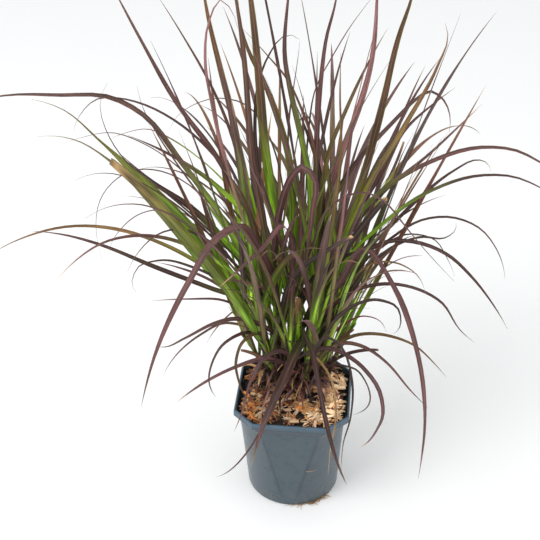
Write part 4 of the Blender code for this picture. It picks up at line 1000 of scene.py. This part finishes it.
def chip_surface(centre, size, turn, tilt, rng):
    """A wood chip: five rings of eight points along its grain, flat, ragged and split at its ends.

    A ring is a squared circle, cos and sin to the power 0.6, times half the width and thickness, which
    shrink at the ends by a drawn amount. Each point is then moved a little, more so along the grain at the
    two ends, and the chip is bowed, tilted and turned to its place.
    """
    shares = np.array((-1.0, -0.62, 0.05, 0.6, 1.0))
    turns = np.radians(np.arange(8) * 45 + 22.5)
    circle = np.column_stack((np.cos(turns), np.sin(turns)))
    circle = np.sign(circle) * np.abs(circle) ** 0.6
    ends = [rng.uniform(0.55, 1.0) for _ in range(2)]
    scale = np.array((ends[0], rng.uniform(0.9, 1.05), 1.0, rng.uniform(0.9, 1.05), ends[1]))
    grid = np.empty((5, 8, 3))
    grid[..., 0] = shares[:, None] * size[0] / 2
    grid[..., 1] = circle[:, 0] * scale[:, None] * size[1] / 2
    grid[..., 2] = circle[:, 1] * (0.5 + 0.5 * scale[:, None]) * size[2] / 2
    loose = np.array([rng.uniform(-1, 1) for _ in range(120)]).reshape(5, 8, 3)
    near_end = np.abs(shares)[:, None] ** 3
    grid[..., 0] += loose[..., 0] * near_end * size[0] * 0.07
    grid[..., 1] += loose[..., 1] * size[1] * 0.05
    grid[..., 2] += loose[..., 2] * size[2] * 0.08 + rng.uniform(-0.06, 0.06) * size[0] * shares[:, None] ** 2
    dip, bank = math.sin(tilt[0]), math.sin(tilt[1])
    grid[..., 2] += grid[..., 0] * dip + grid[..., 1] * bank
    c, s = math.cos(turn), math.sin(turn)
    x = grid[..., 0] * c - grid[..., 1] * s + centre[0]
    y = grid[..., 0] * s + grid[..., 1] * c + centre[1]
    place = pattern(
        (circle[:, 0] * 0.5 + circle[:, 1] * 0.3) * size[1] + rng.random() * 9,
        shares[:, None] * size[0] / 2 + rng.random() * 9,
    )
    return np.stack((x, y, grid[..., 2] + centre[2]), axis=-1), place


class Wiring:
    """A material and its nodes, added and joined in short steps."""

    def __init__(self, name):
        self.material = bpy.data.materials.new(name)
        self.material.use_nodes = True
        self.tree = self.material.node_tree
        self.shader = self.tree.nodes["Principled BSDF"]

    def put(self, socket, value):
        if isinstance(value, bpy.types.NodeSocket):
            self.tree.links.new(value, socket)
        elif value is not None:
            socket.default_value = value

    def maths(self, operation, first, second=None, third=None):
        node = self.tree.nodes.new("ShaderNodeMath")
        node.operation = operation
        for socket, value in zip(node.inputs, (first, second, third)):
            self.put(socket, value)
        return node.outputs[0]

    def apart(self, value, level):
        """Distance of a value from a level, on either side."""
        return self.maths("ABSOLUTE", self.maths("SUBTRACT", value, level))

    def spread(self, value, low, high, to_low=0.0, to_high=1.0):
        """The value's place between low and high, eased at both ends, as a number from to_low to to_high."""
        node = self.tree.nodes.new("ShaderNodeMapRange")
        node.interpolation_type = "SMOOTHSTEP"
        for socket, number in zip(node.inputs, (value, low, high, to_low, to_high)):
            self.put(socket, number)
        return node.outputs[0]

    def noise(self, place, scale, detail=3.0, roughness=0.55):
        node = self.tree.nodes.new("ShaderNodeTexNoise")
        self.put(node.inputs["Vector"], place)
        self.put(node.inputs["Scale"], scale)
        self.put(node.inputs["Detail"], detail)
        self.put(node.inputs["Roughness"], roughness)
        return node.outputs["Fac"]

    def stretched(self, place, scale):
        node = self.tree.nodes.new("ShaderNodeMapping")
        self.put(node.inputs["Vector"], place)
        self.put(node.inputs["Scale"], scale)
        return node.outputs[0]

    def mixed(self, share, first, second, blend="MIX"):
        node = self.tree.nodes.new("ShaderNodeMix")
        node.data_type = "RGBA"
        node.blend_type = blend
        self.put(node.inputs[0], share)
        self.put(node.inputs[6], first)
        self.put(node.inputs[7], second)
        return node.outputs[2]

    def grey(self, value):
        """A number as a colour of equal parts."""
        node = self.tree.nodes.new("ShaderNodeCombineColor")
        for socket in node.inputs[:3]:
            self.put(socket, value)
        return node.outputs[0]

    def tint(self):
        node = self.tree.nodes.new("ShaderNodeAttribute")
        node.attribute_name = "tint"
        return node.outputs["Color"]

    def grain(self):
        node = self.tree.nodes.new("ShaderNodeUVMap")
        node.uv_map = "grain"
        return node.outputs[0]

    def place(self):
        return self.tree.nodes.new("ShaderNodeTexCoord").outputs["Object"]

    def parts(self, vector):
        node = self.tree.nodes.new("ShaderNodeSeparateXYZ")
        self.put(node.inputs[0], vector)
        return node.outputs

    def finished(self, base, roughness, height, distance):
        """The material, with its colour, its roughness and a relief of that depth joined to the shader."""
        bump = self.tree.nodes.new("ShaderNodeBump")
        bump.inputs["Strength"].default_value = 1.0
        self.put(bump.inputs["Distance"], distance)
        self.put(bump.inputs["Height"], height)
        for name, value in (("Base Color", base), ("Roughness", roughness), ("Normal", bump.outputs[0])):
            self.put(self.shader.inputs[name], value)
        return self.material


def colour(values):
    return (*linear(values), 1.0)


VEINS = 13  # across a blade
LEAF_SHADER = {
    "Sheen Weight": 0.03,
    "Sheen Roughness": 0.42,
    "Sheen Tint": colour((224, 206, 216)),
    "Specular IOR Level": 0.40,
    "Subsurface Weight": 0.18,
    "Subsurface Radius": (0.8, 0.8, 0.4),
    "Subsurface Scale": 0.0012,
}


def leaf_finish(name, look):
    """Living leaf: its tint with fine streaks along it and broad bands of painted light and shade across it,
    a paler midrib, raised veins and a soft sheen.
    """
    wires = Wiring(name)
    grain = wires.grain()
    across = wires.parts(grain)[0]
    middle = wires.maths("ABSOLUTE", wires.maths("MULTIPLY_ADD", across, 2.0, -1.0))
    streak = wires.noise(wires.stretched(grain, (11.0, 34.0, 1.0)), 1.0, 2.0)
    # Broad bands across the blade, lighter and darker: painted light and shade, as where one side of a folded
    # blade is lit and the other shaded. The shade below multiplies them with the fine streaks.
    broad = wires.noise(wires.stretched(grain, (2.6, 14.0, 1.0)), 1.0, 1.0)
    shade = wires.maths(
        "MULTIPLY", wires.spread(streak, 0.25, 0.75, 0.60, 1.48), wires.spread(broad, 0.32, 0.68, 0.62, 1.42)
    )
    base = wires.mixed(1.0, wires.tint(), wires.grey(shade), "MULTIPLY")
    thin_lines = wires.noise(wires.stretched(grain, (24.0, 20.0, 1.0)), 1.0, 1.0)
    base = wires.mixed(wires.spread(thin_lines, 0.54, 0.72, 0.0, 0.4), base, colour((92, 54, 48)))
    midrib = wires.spread(middle, 0.05, 0.13, look.midrib, 0.0)
    base = wires.mixed(midrib, base, colour((150, 140, 92)))
    gloss = wires.spread(streak, 0.2, 0.8, look.gloss - 0.08, look.gloss + 0.12)
    veins = wires.maths("SINE", wires.maths("MULTIPLY", across, 6.2832 * VEINS))
    height = wires.maths("ADD", wires.maths("MULTIPLY", veins, 0.25), streak)
    for name, value in LEAF_SHADER.items():
        wires.put(wires.shader.inputs[name], value)
    return wires.finished(base, gloss, height, look.vein_depth)


def dry_finish(name):
    """Dry leaf: papery, with fine ribs along it and brown flecks."""
    wires = Wiring(name)
    grain = wires.grain()
    rib = wires.noise(wires.stretched(grain, (16.0, 40.0, 1.0)), 1.0, 3.0)
    fleck = wires.noise(wires.stretched(grain, (5.0, 160.0, 1.0)), 1.0, 2.0)
    base = wires.mixed(1.0, wires.tint(), wires.grey(wires.spread(rib, 0.2, 0.8, 0.66, 1.2)), "MULTIPLY")
    base = wires.mixed(wires.spread(fleck, 0.62, 0.78, 0.0, 0.55), base, colour((104, 72, 52)))
    return wires.finished(base, wires.spread(rib, 0.2, 0.8, 0.6, 0.85), rib, 0.0003)


def chip_finish(name):
    """Split wood: the chip's own tint, darker grain lines along it, and rough torn fibres."""
    wires = Wiring(name)
    grain = wires.grain()
    fibre = wires.noise(wires.stretched(grain, (1900.0, 150.0, 1.0)), 1.0, 3.0, 0.6)
    ring = wires.noise(wires.stretched(grain, (620.0, 24.0, 1.0)), 1.0, 1.0)
    shade = wires.maths(
        "MULTIPLY", wires.spread(fibre, 0.25, 0.75, 0.72, 1.24), wires.spread(ring, 0.35, 0.7, 0.84, 1.14)
    )
    base = wires.mixed(1.0, wires.tint(), wires.grey(shade), "MULTIPLY")
    return wires.finished(base, wires.spread(fibre, 0.2, 0.8, 0.72, 0.95), fibre, 0.0004)


def soil_finish(name):
    """Moist potting soil: near-black crumbs with a few brown fibres, dull and rough."""
    wires = Wiring(name)
    place = wires.place()
    crumb = wires.noise(place, 900.0, 4.0, 0.65)
    base = wires.mixed(1.0, wires.tint(), wires.grey(wires.spread(crumb, 0.25, 0.75, 0.5, 1.5)), "MULTIPLY")
    return wires.finished(base, wires.spread(crumb, 0.2, 0.8, 0.82, 1.0), crumb, 0.0008)


def pot_finish(name, look):
    """Moulded plastic: slate blue, faintly mottled and rubbed, with soil dust low down and under the rim, and
    a painted shadow line under the rim's band.
    """
    wires = Wiring(name)
    place = wires.place()
    height = wires.parts(place)[2]
    mottle = wires.noise(place, 60.0, 4.0, 0.6)
    fine = wires.noise(place, 1500.0, 2.0)
    rub = wires.noise(wires.stretched(place, (150.0, 150.0, 90.0)), 1.0, 4.0, 0.7)
    base = wires.mixed(wires.spread(mottle, 0.2, 0.8), (*look.colour, 1.0), (*look.pale_colour, 1.0))
    base = wires.mixed(1.0, base, wires.tint(), "MULTIPLY")
    low = wires.spread(height, 0.0, 0.035, 1.0, 0.0)
    ledge = POT_HEIGHT - RIM_BAND - STEP_BAND
    crease = wires.spread(wires.apart(height, ledge), 0.0005, 0.003, 0.8, 0.0)
    rubbed = wires.spread(rub, 0.45, 0.75, 0.0, look.dust)
    dust = wires.maths("MULTIPLY", wires.maths("MAXIMUM", low, crease), rubbed)
    base = wires.mixed(dust, base, colour((150, 138, 120)))
    # A near-black line just under the rim's band: painted shadow under the rim's overhang.
    painted_rim_shadow = wires.spread(wires.apart(height, POT_HEIGHT - RIM_BAND - 0.0004), 0.0006, 0.0024, 0.8, 0.0)
    base = wires.mixed(painted_rim_shadow, base, colour((28, 34, 40)))
    gloss = wires.spread(mottle, 0.3, 0.7, look.gloss - 0.05, look.gloss + 0.06)
    rough = wires.maths("MULTIPLY_ADD", dust, 0.35, gloss)
    return wires.finished(base, rough, wires.maths("ADD", wires.maths("MULTIPLY", fine, 0.5), rub), 0.00012)


def floor_finish(name, look):
    """Pale matt floor."""
    wires = Wiring(name)
    wires.shader.inputs["Base Color"].default_value = (*look.floor_colour, 1.0)
    wires.shader.inputs["Roughness"].default_value = 0.9
    wires.shader.inputs["Specular IOR Level"].default_value = 0.1
    return wires.material


def mix_finish(name):
    """Potting mix seen through the drain holes: dark and fibrous."""
    wires = Wiring(name)
    crumb = wires.noise(wires.place(), 500.0, 4.0, 0.65)
    base = wires.mixed(crumb, colour((34, 27, 22)), colour((74, 55, 40)))
    return wires.finished(base, wires.spread(crumb, 0.2, 0.8, 0.85, 1.0), crumb, 0.001)


class GrassLook(bpy.types.PropertyGroup):
    """Blades: how finely they are made, their relief and sheen, and how many thin ones there are"""

    rows: IntProperty(name="Rows", description="Rings of points along a blade", default=34, min=8, max=80)
    ruffle: FloatProperty(
        name="Ruffle", description="Height of the waves along a blade's margins", default=0.0005,
        min=0, max=0.003, unit="LENGTH",
    )
    midrib: FloatProperty(
        name="Midrib", description="How pale the midrib is", default=0.30, min=0, max=1, subtype="FACTOR"
    )
    gloss: FloatProperty(
        name="Roughness", description="Roughness of a living blade", default=0.40, min=0.1, max=0.9,
        subtype="FACTOR",
    )
    vein_depth: FloatProperty(
        name="Vein depth", description="Depth of the fine veins", default=0.00022, min=0, max=0.001,
        unit="LENGTH",
    )
    wisps: IntProperty(
        name="Wisps", description="Young, hair-fine blades between the broad ones", default=64, min=0, max=400
    )
    crown: IntProperty(
        name="Crown leaves", description="Short dark leaves at the feet of the stems", default=180,
        min=0, max=240,
    )


# Seeds of the fine pieces.
STEM_SEED = 500
WISP_SEED = 77
CHIP_SEED = 23
LITTER_SEED = 31

# Wisps: lengths, widths, and degrees from upright at the root and at the tip.
WISP_LENGTHS = (0.14, 0.34)
DRY_LENGTHS = (0.05, 0.14)
WISP_WIDTHS = (0.0009, 0.0024)
WISP_ARCH = ((4, 18), (16, 70))
WISP_TINTS = ("plum", "night", "night", "pink", "olive", "russet")

# Crown leaves: degrees from upright at the root and at the tip, lengths, shares of the stem's height where
# they root, widths and tints.
INSIDE_RIM = 0.064  # half width inside the rim that they keep to
CROWN_UPRIGHT = (
    (4, 20), (16, 80), (0.040, 0.110), (0.04, 0.20), (0.0036, 0.0078), ("night", "wine", "plum"),
)
CROWN_SAGGING = (
    (14, 66), (80, 160), (0.028, 0.080), (0.06, 0.36), (0.0022, 0.0060),
    ("night", "night", "plum", "pink", "russet", "straw"),
)

FOOT_CLEARANCE = 0.0045  # chips keep this far from the middle of a stem's foot
BARE_PATCH = 0.013  # size of the patches with fewer chips
TONE_PATCH = 0.035  # size of the paler and darker patches
CHIP_LAYER = 0.0022  # the last chips of a kind lie this much higher than the first
CHIP_LEVELS = (0.0026, 0.0022, 0.0042, 0.0036)  # height of each kind's lowest chips above the bed
CHIP_KINDS = (  # share of all, lengths as shares of the longest, widths, depths, colours
    (0.14, (0.30, 0.62), (0.0040, 0.0075), (0.0016, 0.0030), BARK_TINTS),
    (0.27, (0.26, 0.70), (0.0018, 0.0036), (0.0010, 0.0020), CHIP_TINTS),
    (0.16, (0.45, 0.84), (0.0032, 0.0056), (0.0014, 0.0028), CHIP_TINTS),
    (0.43, (0.26, 0.85), (0.0007, 0.0015), (0.0006, 0.0013), CHIP_TINTS),
)


class MulchLook(bpy.types.PropertyGroup):
    """Wood chips: how many and how long"""

    chips: IntProperty(name="Chips", description="Wood chips on the soil", default=950, min=0, max=2500)
    length: FloatProperty(
        name="Longest chip", description="Length of the longest chips", default=0.025, min=0.005, max=0.04,
        unit="LENGTH",
    )


class PotLook(bpy.types.PropertyGroup):
    """The pot's plastic"""

    colour: FloatVectorProperty(
        name="Colour", description="The plastic's colour", default=tuple(linear((63, 76, 84))),
        subtype="COLOR", min=0, max=1,
    )
    pale_colour: FloatVectorProperty(
        name="Pale colour", description="The plastic where it is paler", default=tuple(linear((70, 84, 92))),
        subtype="COLOR", min=0, max=1,
    )
    gloss: FloatProperty(
        name="Roughness", description="Roughness of the plastic", default=0.30, min=0.1, max=0.9,
        subtype="FACTOR",
    )
    dust: FloatProperty(
        name="Dust", description="Soil dust near the base and under the rim", default=0.3, min=0, max=1,
        subtype="FACTOR",
    )


class StudioLook(bpy.types.PropertyGroup):
    """Floor and light"""

    floor_colour: FloatVectorProperty(
        name="Floor", description="The floor's colour", default=(0.93, 0.93, 0.92), subtype="COLOR",
        min=0, max=1,
    )
    key: FloatProperty(
        name="Key light", description="Power of the main soft light", default=44.0, min=0, unit="POWER"
    )
    fill: FloatProperty(
        name="Fill light", description="Power of the second soft light", default=9.0, min=0, unit="POWER"
    )
    sky: FloatProperty(
        name="Surroundings", description="Strength of the light all round", default=0.88, min=0
    )


def planted_stems():
    """The solids' stems and blades, grown again by the same rule, with each root's share of its stem."""
    stems = grow_plant()
    rises = np.linspace(0, 1, 400)
    for stem in stems:
        heights = stem.places(rises)[:, 2]
        for blade in stem.blades:
            blade.root_share = float(np.interp(blade.route[0][2], heights, rises))
    return stems


class GRASS_OT_leafy_stems(bpy.types.Operator):
    """Replaces each leafy stem with its shoot, sheaths and fine blades"""

    bl_idname = "grass.leafy_stems"
    bl_label = "Leafy stems"

    def execute(self, context):
        look = context.scene.grass_look
        material = leaf_finish("living leaf", look)
        for number, stem in enumerate(planted_stems()):
            rng = random.Random(STEM_SEED + number)
            skin = Skin()
            skin.add_tube(*culm_surface(stem, rng))
            for blade in stem.blades:
                skin.add_tube(*blade_surface(blade, look.rows, rng, look.ruffle))
                skin.add_tube(*sheath_surface(stem, blade, rng))
            name = f"{number + 1:02d}"
            skin.piece(f"grass_stem_{name}", material, "leaves", [f"leafy_stem_{name}"])
        return {"FINISHED"}


class GRASS_OT_wisps(bpy.types.Operator):
    """Adds hair-fine young and dry blades between the broad ones, and short dark leaves at the crown"""

    bl_idname = "grass.wisps"
    bl_label = "Wisps and crown leaves"

    def execute(self, context):
        look = context.scene.grass_look
        rng = random.Random(WISP_SEED)
        stems = bare_stems()
        young, dry, crown = Skin(), Skin(), Skin()
        low, high = np.array(CAD_BOX)
        made = 0
        while made < look.wisps:
            stem = rng.choice(stems)
            side = math.atan2(stem.outward[1], stem.outward[0])
            heading = side + rng.gauss(0, 0.8)
            is_dry = made % 6 == 0
            length = rng.uniform(*(DRY_LENGTHS if is_dry else WISP_LENGTHS))
            lean, droop = (math.radians(rng.uniform(*angles)) for angles in WISP_ARCH)
            root = stem.places([rng.uniform(0.08, 0.9) ** 1.2])[0]
            route = drawn_route(root, heading, length, lean, droop)
            tint = "straw" if is_dry else rng.choice(WISP_TINTS)
            rolls = (rng.uniform(-0.8, 0.8), rng.uniform(-1.5, 1.5))
            blade = Blade(route, heading, rng.uniform(*WISP_WIDTHS), rolls, tint)
            if not blade.keeps_clear_of_pot() or (blade.route < low).any() or (blade.route > high).any():
                continue
            skin = dry if is_dry else young
            skin.add_tube(*blade_surface(blade, 22, rng, 0.0))
            made += 1
        made = 0
        while made < look.crown:
            stem = min(rng.sample(stems, 3), key=lambda stem: stem.base[1])
            heading = math.atan2(stem.outward[1] - 0.9, stem.outward[0]) + rng.gauss(0, 0.8)
            upright = made % 2 == 0
            leans, droops, lengths, roots, widths, tints = CROWN_UPRIGHT if upright else CROWN_SAGGING
            lean, droop = math.radians(rng.uniform(*leans)), math.radians(rng.uniform(*droops))
            root = stem.places([rng.uniform(*roots)])[0]
            route = drawn_route(root, heading, rng.uniform(*lengths), lean, droop)
            floor = bed_heights(route[:, 0], route[:, 1]) + 0.0035
            # Where a leaf sags onto the bed it lies on it, slightly waved.
            route[:, 2] = np.maximum(route[:, 2], floor + 0.001 * np.cos(np.arange(len(route)) + made))
            rolls = (rng.uniform(-0.7, 0.7), rng.uniform(-1.4, 1.4))
            blade = Blade(route, heading, rng.uniform(*widths), rolls, rng.choice(tints))
            if np.abs(blade.route[:, :2]).max() > INSIDE_RIM:
                continue
            crown.add_tube(*blade_surface(blade, 18, rng, 0.0003))
            made += 1
        young.piece("young_wisps", leaf_finish("young leaf", look), "leaves")
        crown.piece("crown_leaves", leaf_finish("crown leaf", look), "leaves")
        dry.piece("dry_wisps", dry_finish("dry wisp"), "leaves")
        return {"FINISHED"}


class GRASS_OT_mulch(bpy.types.Operator):
    """Replaces the mulch with crumbly soil and loose wood chips"""

    bl_idname = "grass.mulch"
    bl_label = "Soil and wood chips"

    def execute(self, context):
        look = context.scene.mulch_look
        rng = random.Random(CHIP_SEED)
        soil = Skin()
        soil.add_tube(*soil_surface())
        soil.piece("soil_surface", soil_finish("potting soil"), "potting_mix", ["chip_mulch"])
        chips = Skin()
        feet = np.array([stem.base[:2] for stem in bare_stems()])
        edge = level_rings([BED_TOP], [RIM_WIDTH - 2 * RIM_LIP - 0.005], [0.03])[0]
        angles, reaches = np.arctan2(edge[:, 1], edge[:, 0]), np.hypot(edge[:, 0], edge[:, 1])
        for kind, (share, lengths, widths, depths, chip_tints) in enumerate(CHIP_KINDS):
            tints = linear(chip_tints)
            made, wanted = 0, int(look.chips * share)
            while made < wanted:
                angle, reach = rng.uniform(-math.pi, math.pi), math.sqrt(rng.random())
                limit = np.interp(angle, angles, reaches, period=2 * math.pi)
                length = look.length * rng.uniform(*lengths)
                far = reach * (limit - length * 0.42)
                x, y = far * math.cos(angle), far * math.sin(angle)
                bare = value_noise(np.array((x / BARE_PATCH, y / BARE_PATCH, 5.0)))
                tone = value_noise(np.array((x / TONE_PATCH, y / TONE_PATCH, 9.0)))
                if np.hypot(*(feet - (x, y)).T).min() < FOOT_CLEARANCE or bare > rng.uniform(0.0, 0.6):
                    continue
                layer = made / wanted
                size = (length, rng.uniform(*widths), rng.uniform(*depths))
                tilt = (rng.gauss(0, 0.12 + 0.12 * layer), rng.gauss(0, 0.24))
                height = float(bed_heights(x, y)) + CHIP_LEVELS[kind] + CHIP_LAYER * layer
                grid, place = chip_surface((x, y, height), size, rng.uniform(0, math.pi), tilt, rng)
                # The chips are darker and more burnt on the left, paler and blond on the right.
                shade = rng.uniform(0.55, 1.35) * (1 + 0.22 * tone) * (1 + x * 1.5)
                burnt = min(0.999, max(0.0, rng.gauss(0.45 - x * 5, 0.34)))
                chips.add_tube(grid, tints[int(burnt * len(tints))] * shade, place)
                made += 1
        chips.piece("wood_chips", chip_finish("split wood"), "chip_mulch")
        return {"FINISHED"}


SCRAPS = 34
SCRAP_LENGTHS = (0.018, 0.055)
SCRAP_WIDTHS = (0.0016, 0.0042)
ROOTS = 44
ROOT_RING = 0.0605  # the roots hang out along the base's edge
ROOT_RADII = (0.00030, 0.00085)
STUCK_FIBRE = (  # a dry fibre on the pot's front wall
    (0.022, -0.0668, 0.0680), (0.027, -0.0668, 0.0684), (0.032, -0.0670, 0.0700), (0.037, -0.0670, 0.0735),
)


class GRASS_OT_litter(bpy.types.Operator):
    """Adds dry curled scraps at the foot of the clump and fine roots at the pot's base"""

    bl_idname = "grass.litter"
    bl_label = "Dry scraps and roots"

    def execute(self, context):
        rng = random.Random(LITTER_SEED)
        scraps = Skin()
        for _ in range(SCRAPS):
            angle = rng.uniform(0, 2 * math.pi)
            spread = rng.uniform(0.5, 1.25)
            x = CLUMP_MIDDLE[0] + CLUMP_RADII[0] * spread * math.cos(angle)
            y = CLUMP_MIDDLE[1] + CLUMP_RADII[1] * spread * math.sin(angle)
            y = min(y, 0.060)
            root = np.array((x, y, float(bed_heights(x, y)) + 0.0025))
            heading = rng.uniform(0, 2 * math.pi)
            start, end = math.radians(rng.uniform(15, 75)), math.radians(rng.uniform(95, 200))
            route = drawn_route(root, heading, rng.uniform(*SCRAP_LENGTHS), start, end)
            route[:, 2] = np.maximum(route[:, 2], bed_heights(route[:, 0], route[:, 1]) + 0.002)
            width, rolls = rng.uniform(*SCRAP_WIDTHS), (rng.uniform(-1, 1), rng.uniform(-2.5, 2.5))
            blade = Blade(route, heading, width, rolls, "straw")
            scraps.add_tube(*blade_surface(blade, 16, rng, 0.0004))
        scraps.piece("dry_scraps", dry_finish("dry scrap"), "leaves")
        roots = Skin()
        for _ in range(ROOTS):
            angle = rng.gauss(-1.00, 0.20)
            x, y = ROOT_RING * math.cos(angle), ROOT_RING * math.sin(angle)
            start = np.array((x, y, rng.uniform(0.0006, 0.0022)))
            ahead = angle + rng.choice((-1, 1)) * rng.uniform(1.1, 1.6)
            points = [start]
            for _ in range(3):
                step = rng.uniform(0.0025, 0.0060)
                points.append(points[-1] + step * np.array((math.cos(ahead), math.sin(ahead), 0)))
                points[-1][2] = rng.uniform(0.0007, 0.0026)
                ahead += rng.uniform(-0.6, 0.6)
            roots.add_tube(*root_surface(points, rng.uniform(*ROOT_RADII), rng))
        roots.add_tube(*root_surface(STUCK_FIBRE, 0.00035, rng))
        roots.piece("fine_roots", dry_finish("root"), "leaves")
        return {"FINISHED"}


class GRASS_OT_pot(bpy.types.Operator):
    """Replaces the pot with a finely rounded one, and dresses the potting mix"""

    bl_idname = "grass.pot"
    bl_label = "Nursery pot"

    def execute(self, context):
        look = context.scene.pot_look
        skin = Skin()
        skin.add_tube(*pot_surface())
        pot = skin.piece("nursery_pot", pot_finish("pot plastic", look), "pot", ["pot"])
        cutters = []
        for hole in range(DRAIN_HOLES):
            angle = 2 * math.pi * (hole + 0.5) / DRAIN_HOLES
            place = (DRAIN_RING * math.cos(angle), DRAIN_RING * math.sin(angle), FLOOR / 2)
            bpy.ops.mesh.primitive_cylinder_add(
                vertices=32, radius=DRAIN_WIDTH / 2, depth=FLOOR * 3, location=place
            )
            cutter = context.object
            cutters.append(cutter)
            cut = pot.modifiers.new("drain hole", "BOOLEAN")
            cut.operation = "DIFFERENCE"
            cut.object = cutter
        context.view_layer.update()
        cut_mesh = bpy.data.meshes.new_from_object(pot.evaluated_get(context.evaluated_depsgraph_get()))
        pot.modifiers.clear()
        pot.data = cut_mesh
        for cutter in cutters:
            bpy.data.objects.remove(cutter, do_unlink=True)
        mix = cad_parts["potting_mix"]
        mix.data.materials.clear()
        mix.data.materials.append(mix_finish("potting mix"))
        return {"FINISHED"}


class GRASS_OT_studio(bpy.types.Operator):
    """Adds the pale floor, soft lights and the camera"""

    bl_idname = "grass.studio"
    bl_label = "Studio"

    def soft_light(self, context, name, power, size, place, aim):
        lamp = bpy.data.lights.new(name, "AREA")
        lamp.energy = power
        lamp.size = size
        thing = bpy.data.objects.new(name, lamp)
        thing.location = place
        direction = np.array(aim) - np.array(place)
        thing.rotation_euler = (
            math.atan2(math.hypot(direction[0], direction[1]), -direction[2]), 0,
            math.atan2(direction[1], direction[0]) - math.pi / 2,
        )
        context.scene.collection.objects.link(thing)

    def execute(self, context):
        look = context.scene.studio_look
        reach, level = 30.0, -0.0002
        mesh = bpy.data.meshes.new("studio_floor")
        corners = [(x * reach, y * reach, level) for x, y in ((-1, -1), (1, -1), (1, 1), (-1, 1))]
        mesh.from_pydata(corners, [], [(0, 1, 2, 3)])
        mesh.materials.append(floor_finish("studio floor", look))
        floor = bpy.data.objects.new("studio_floor", mesh)
        context.scene.collection.objects.link(floor)
        self.soft_light(context, "key light", look.key, 1.6, (-1.5, -1.3, 2.3), (0, 0, 0.3))
        self.soft_light(context, "fill light", look.fill, 2.0, (2.0, -0.9, 1.6), (0, 0, 0.3))
        world = bpy.data.worlds.new("pale surroundings")
        world.use_nodes = True
        world.node_tree.nodes["Background"].inputs["Color"].default_value = (0.97, 0.98, 1.0, 1)
        world.node_tree.nodes["Background"].inputs["Strength"].default_value = look.sky
        context.scene.world = world
        context.scene.view_settings.view_transform = "Standard"
        lens = bpy.data.cameras.new("camera")
        lens.sensor_width = 36
        lens.lens = 36 * SIGHT_DISTANCE / (2 * SIGHT_MIDDLE)
        camera = bpy.data.objects.new("camera", lens)
        camera.location = EYE.tolist()
        camera.rotation_euler = (math.pi / 2 - SIGHT_DIP, 0, SIGHT_TURN)
        context.scene.collection.objects.link(camera)
        context.scene.camera = camera
        return {"FINISHED"}


class GRASS_PT_panel(bpy.types.Panel):
    """Lists the steps and the looks"""

    bl_idname = "GRASS_PT_panel"
    bl_label = "Potted fountain grass"
    bl_space_type = "VIEW_3D"
    bl_region_type = "UI"
    bl_category = "Grass"

    def draw(self, context):
        for name, look in LOOKS.items():
            box = self.layout.box()
            for field in look.__annotations__:
                box.prop(getattr(context.scene, name), field)
        for step in STEPS:
            self.layout.operator(step.bl_idname)


LOOKS = {"grass_look": GrassLook, "mulch_look": MulchLook, "pot_look": PotLook, "studio_look": StudioLook}
STEPS = (GRASS_OT_studio, GRASS_OT_pot, GRASS_OT_mulch, GRASS_OT_leafy_stems, GRASS_OT_wisps, GRASS_OT_litter)


def register():
    for part in (*LOOKS.values(), *STEPS, GRASS_PT_panel):
        bpy.utils.register_class(part)
    for name, look in LOOKS.items():
        setattr(bpy.types.Scene, name, PointerProperty(type=look))


def unregister():
    for name in LOOKS:
        delattr(bpy.types.Scene, name)
    for part in reversed((*LOOKS.values(), *STEPS, GRASS_PT_panel)):
        bpy.utils.unregister_class(part)


def main():
    register()
    bpy.ops.grass.studio()
    bpy.ops.grass.pot()
    bpy.ops.grass.mulch()
    bpy.ops.grass.leafy_stems()
    bpy.ops.grass.wisps()
    bpy.ops.grass.litter()


if __name__ == "__main__":
    main()
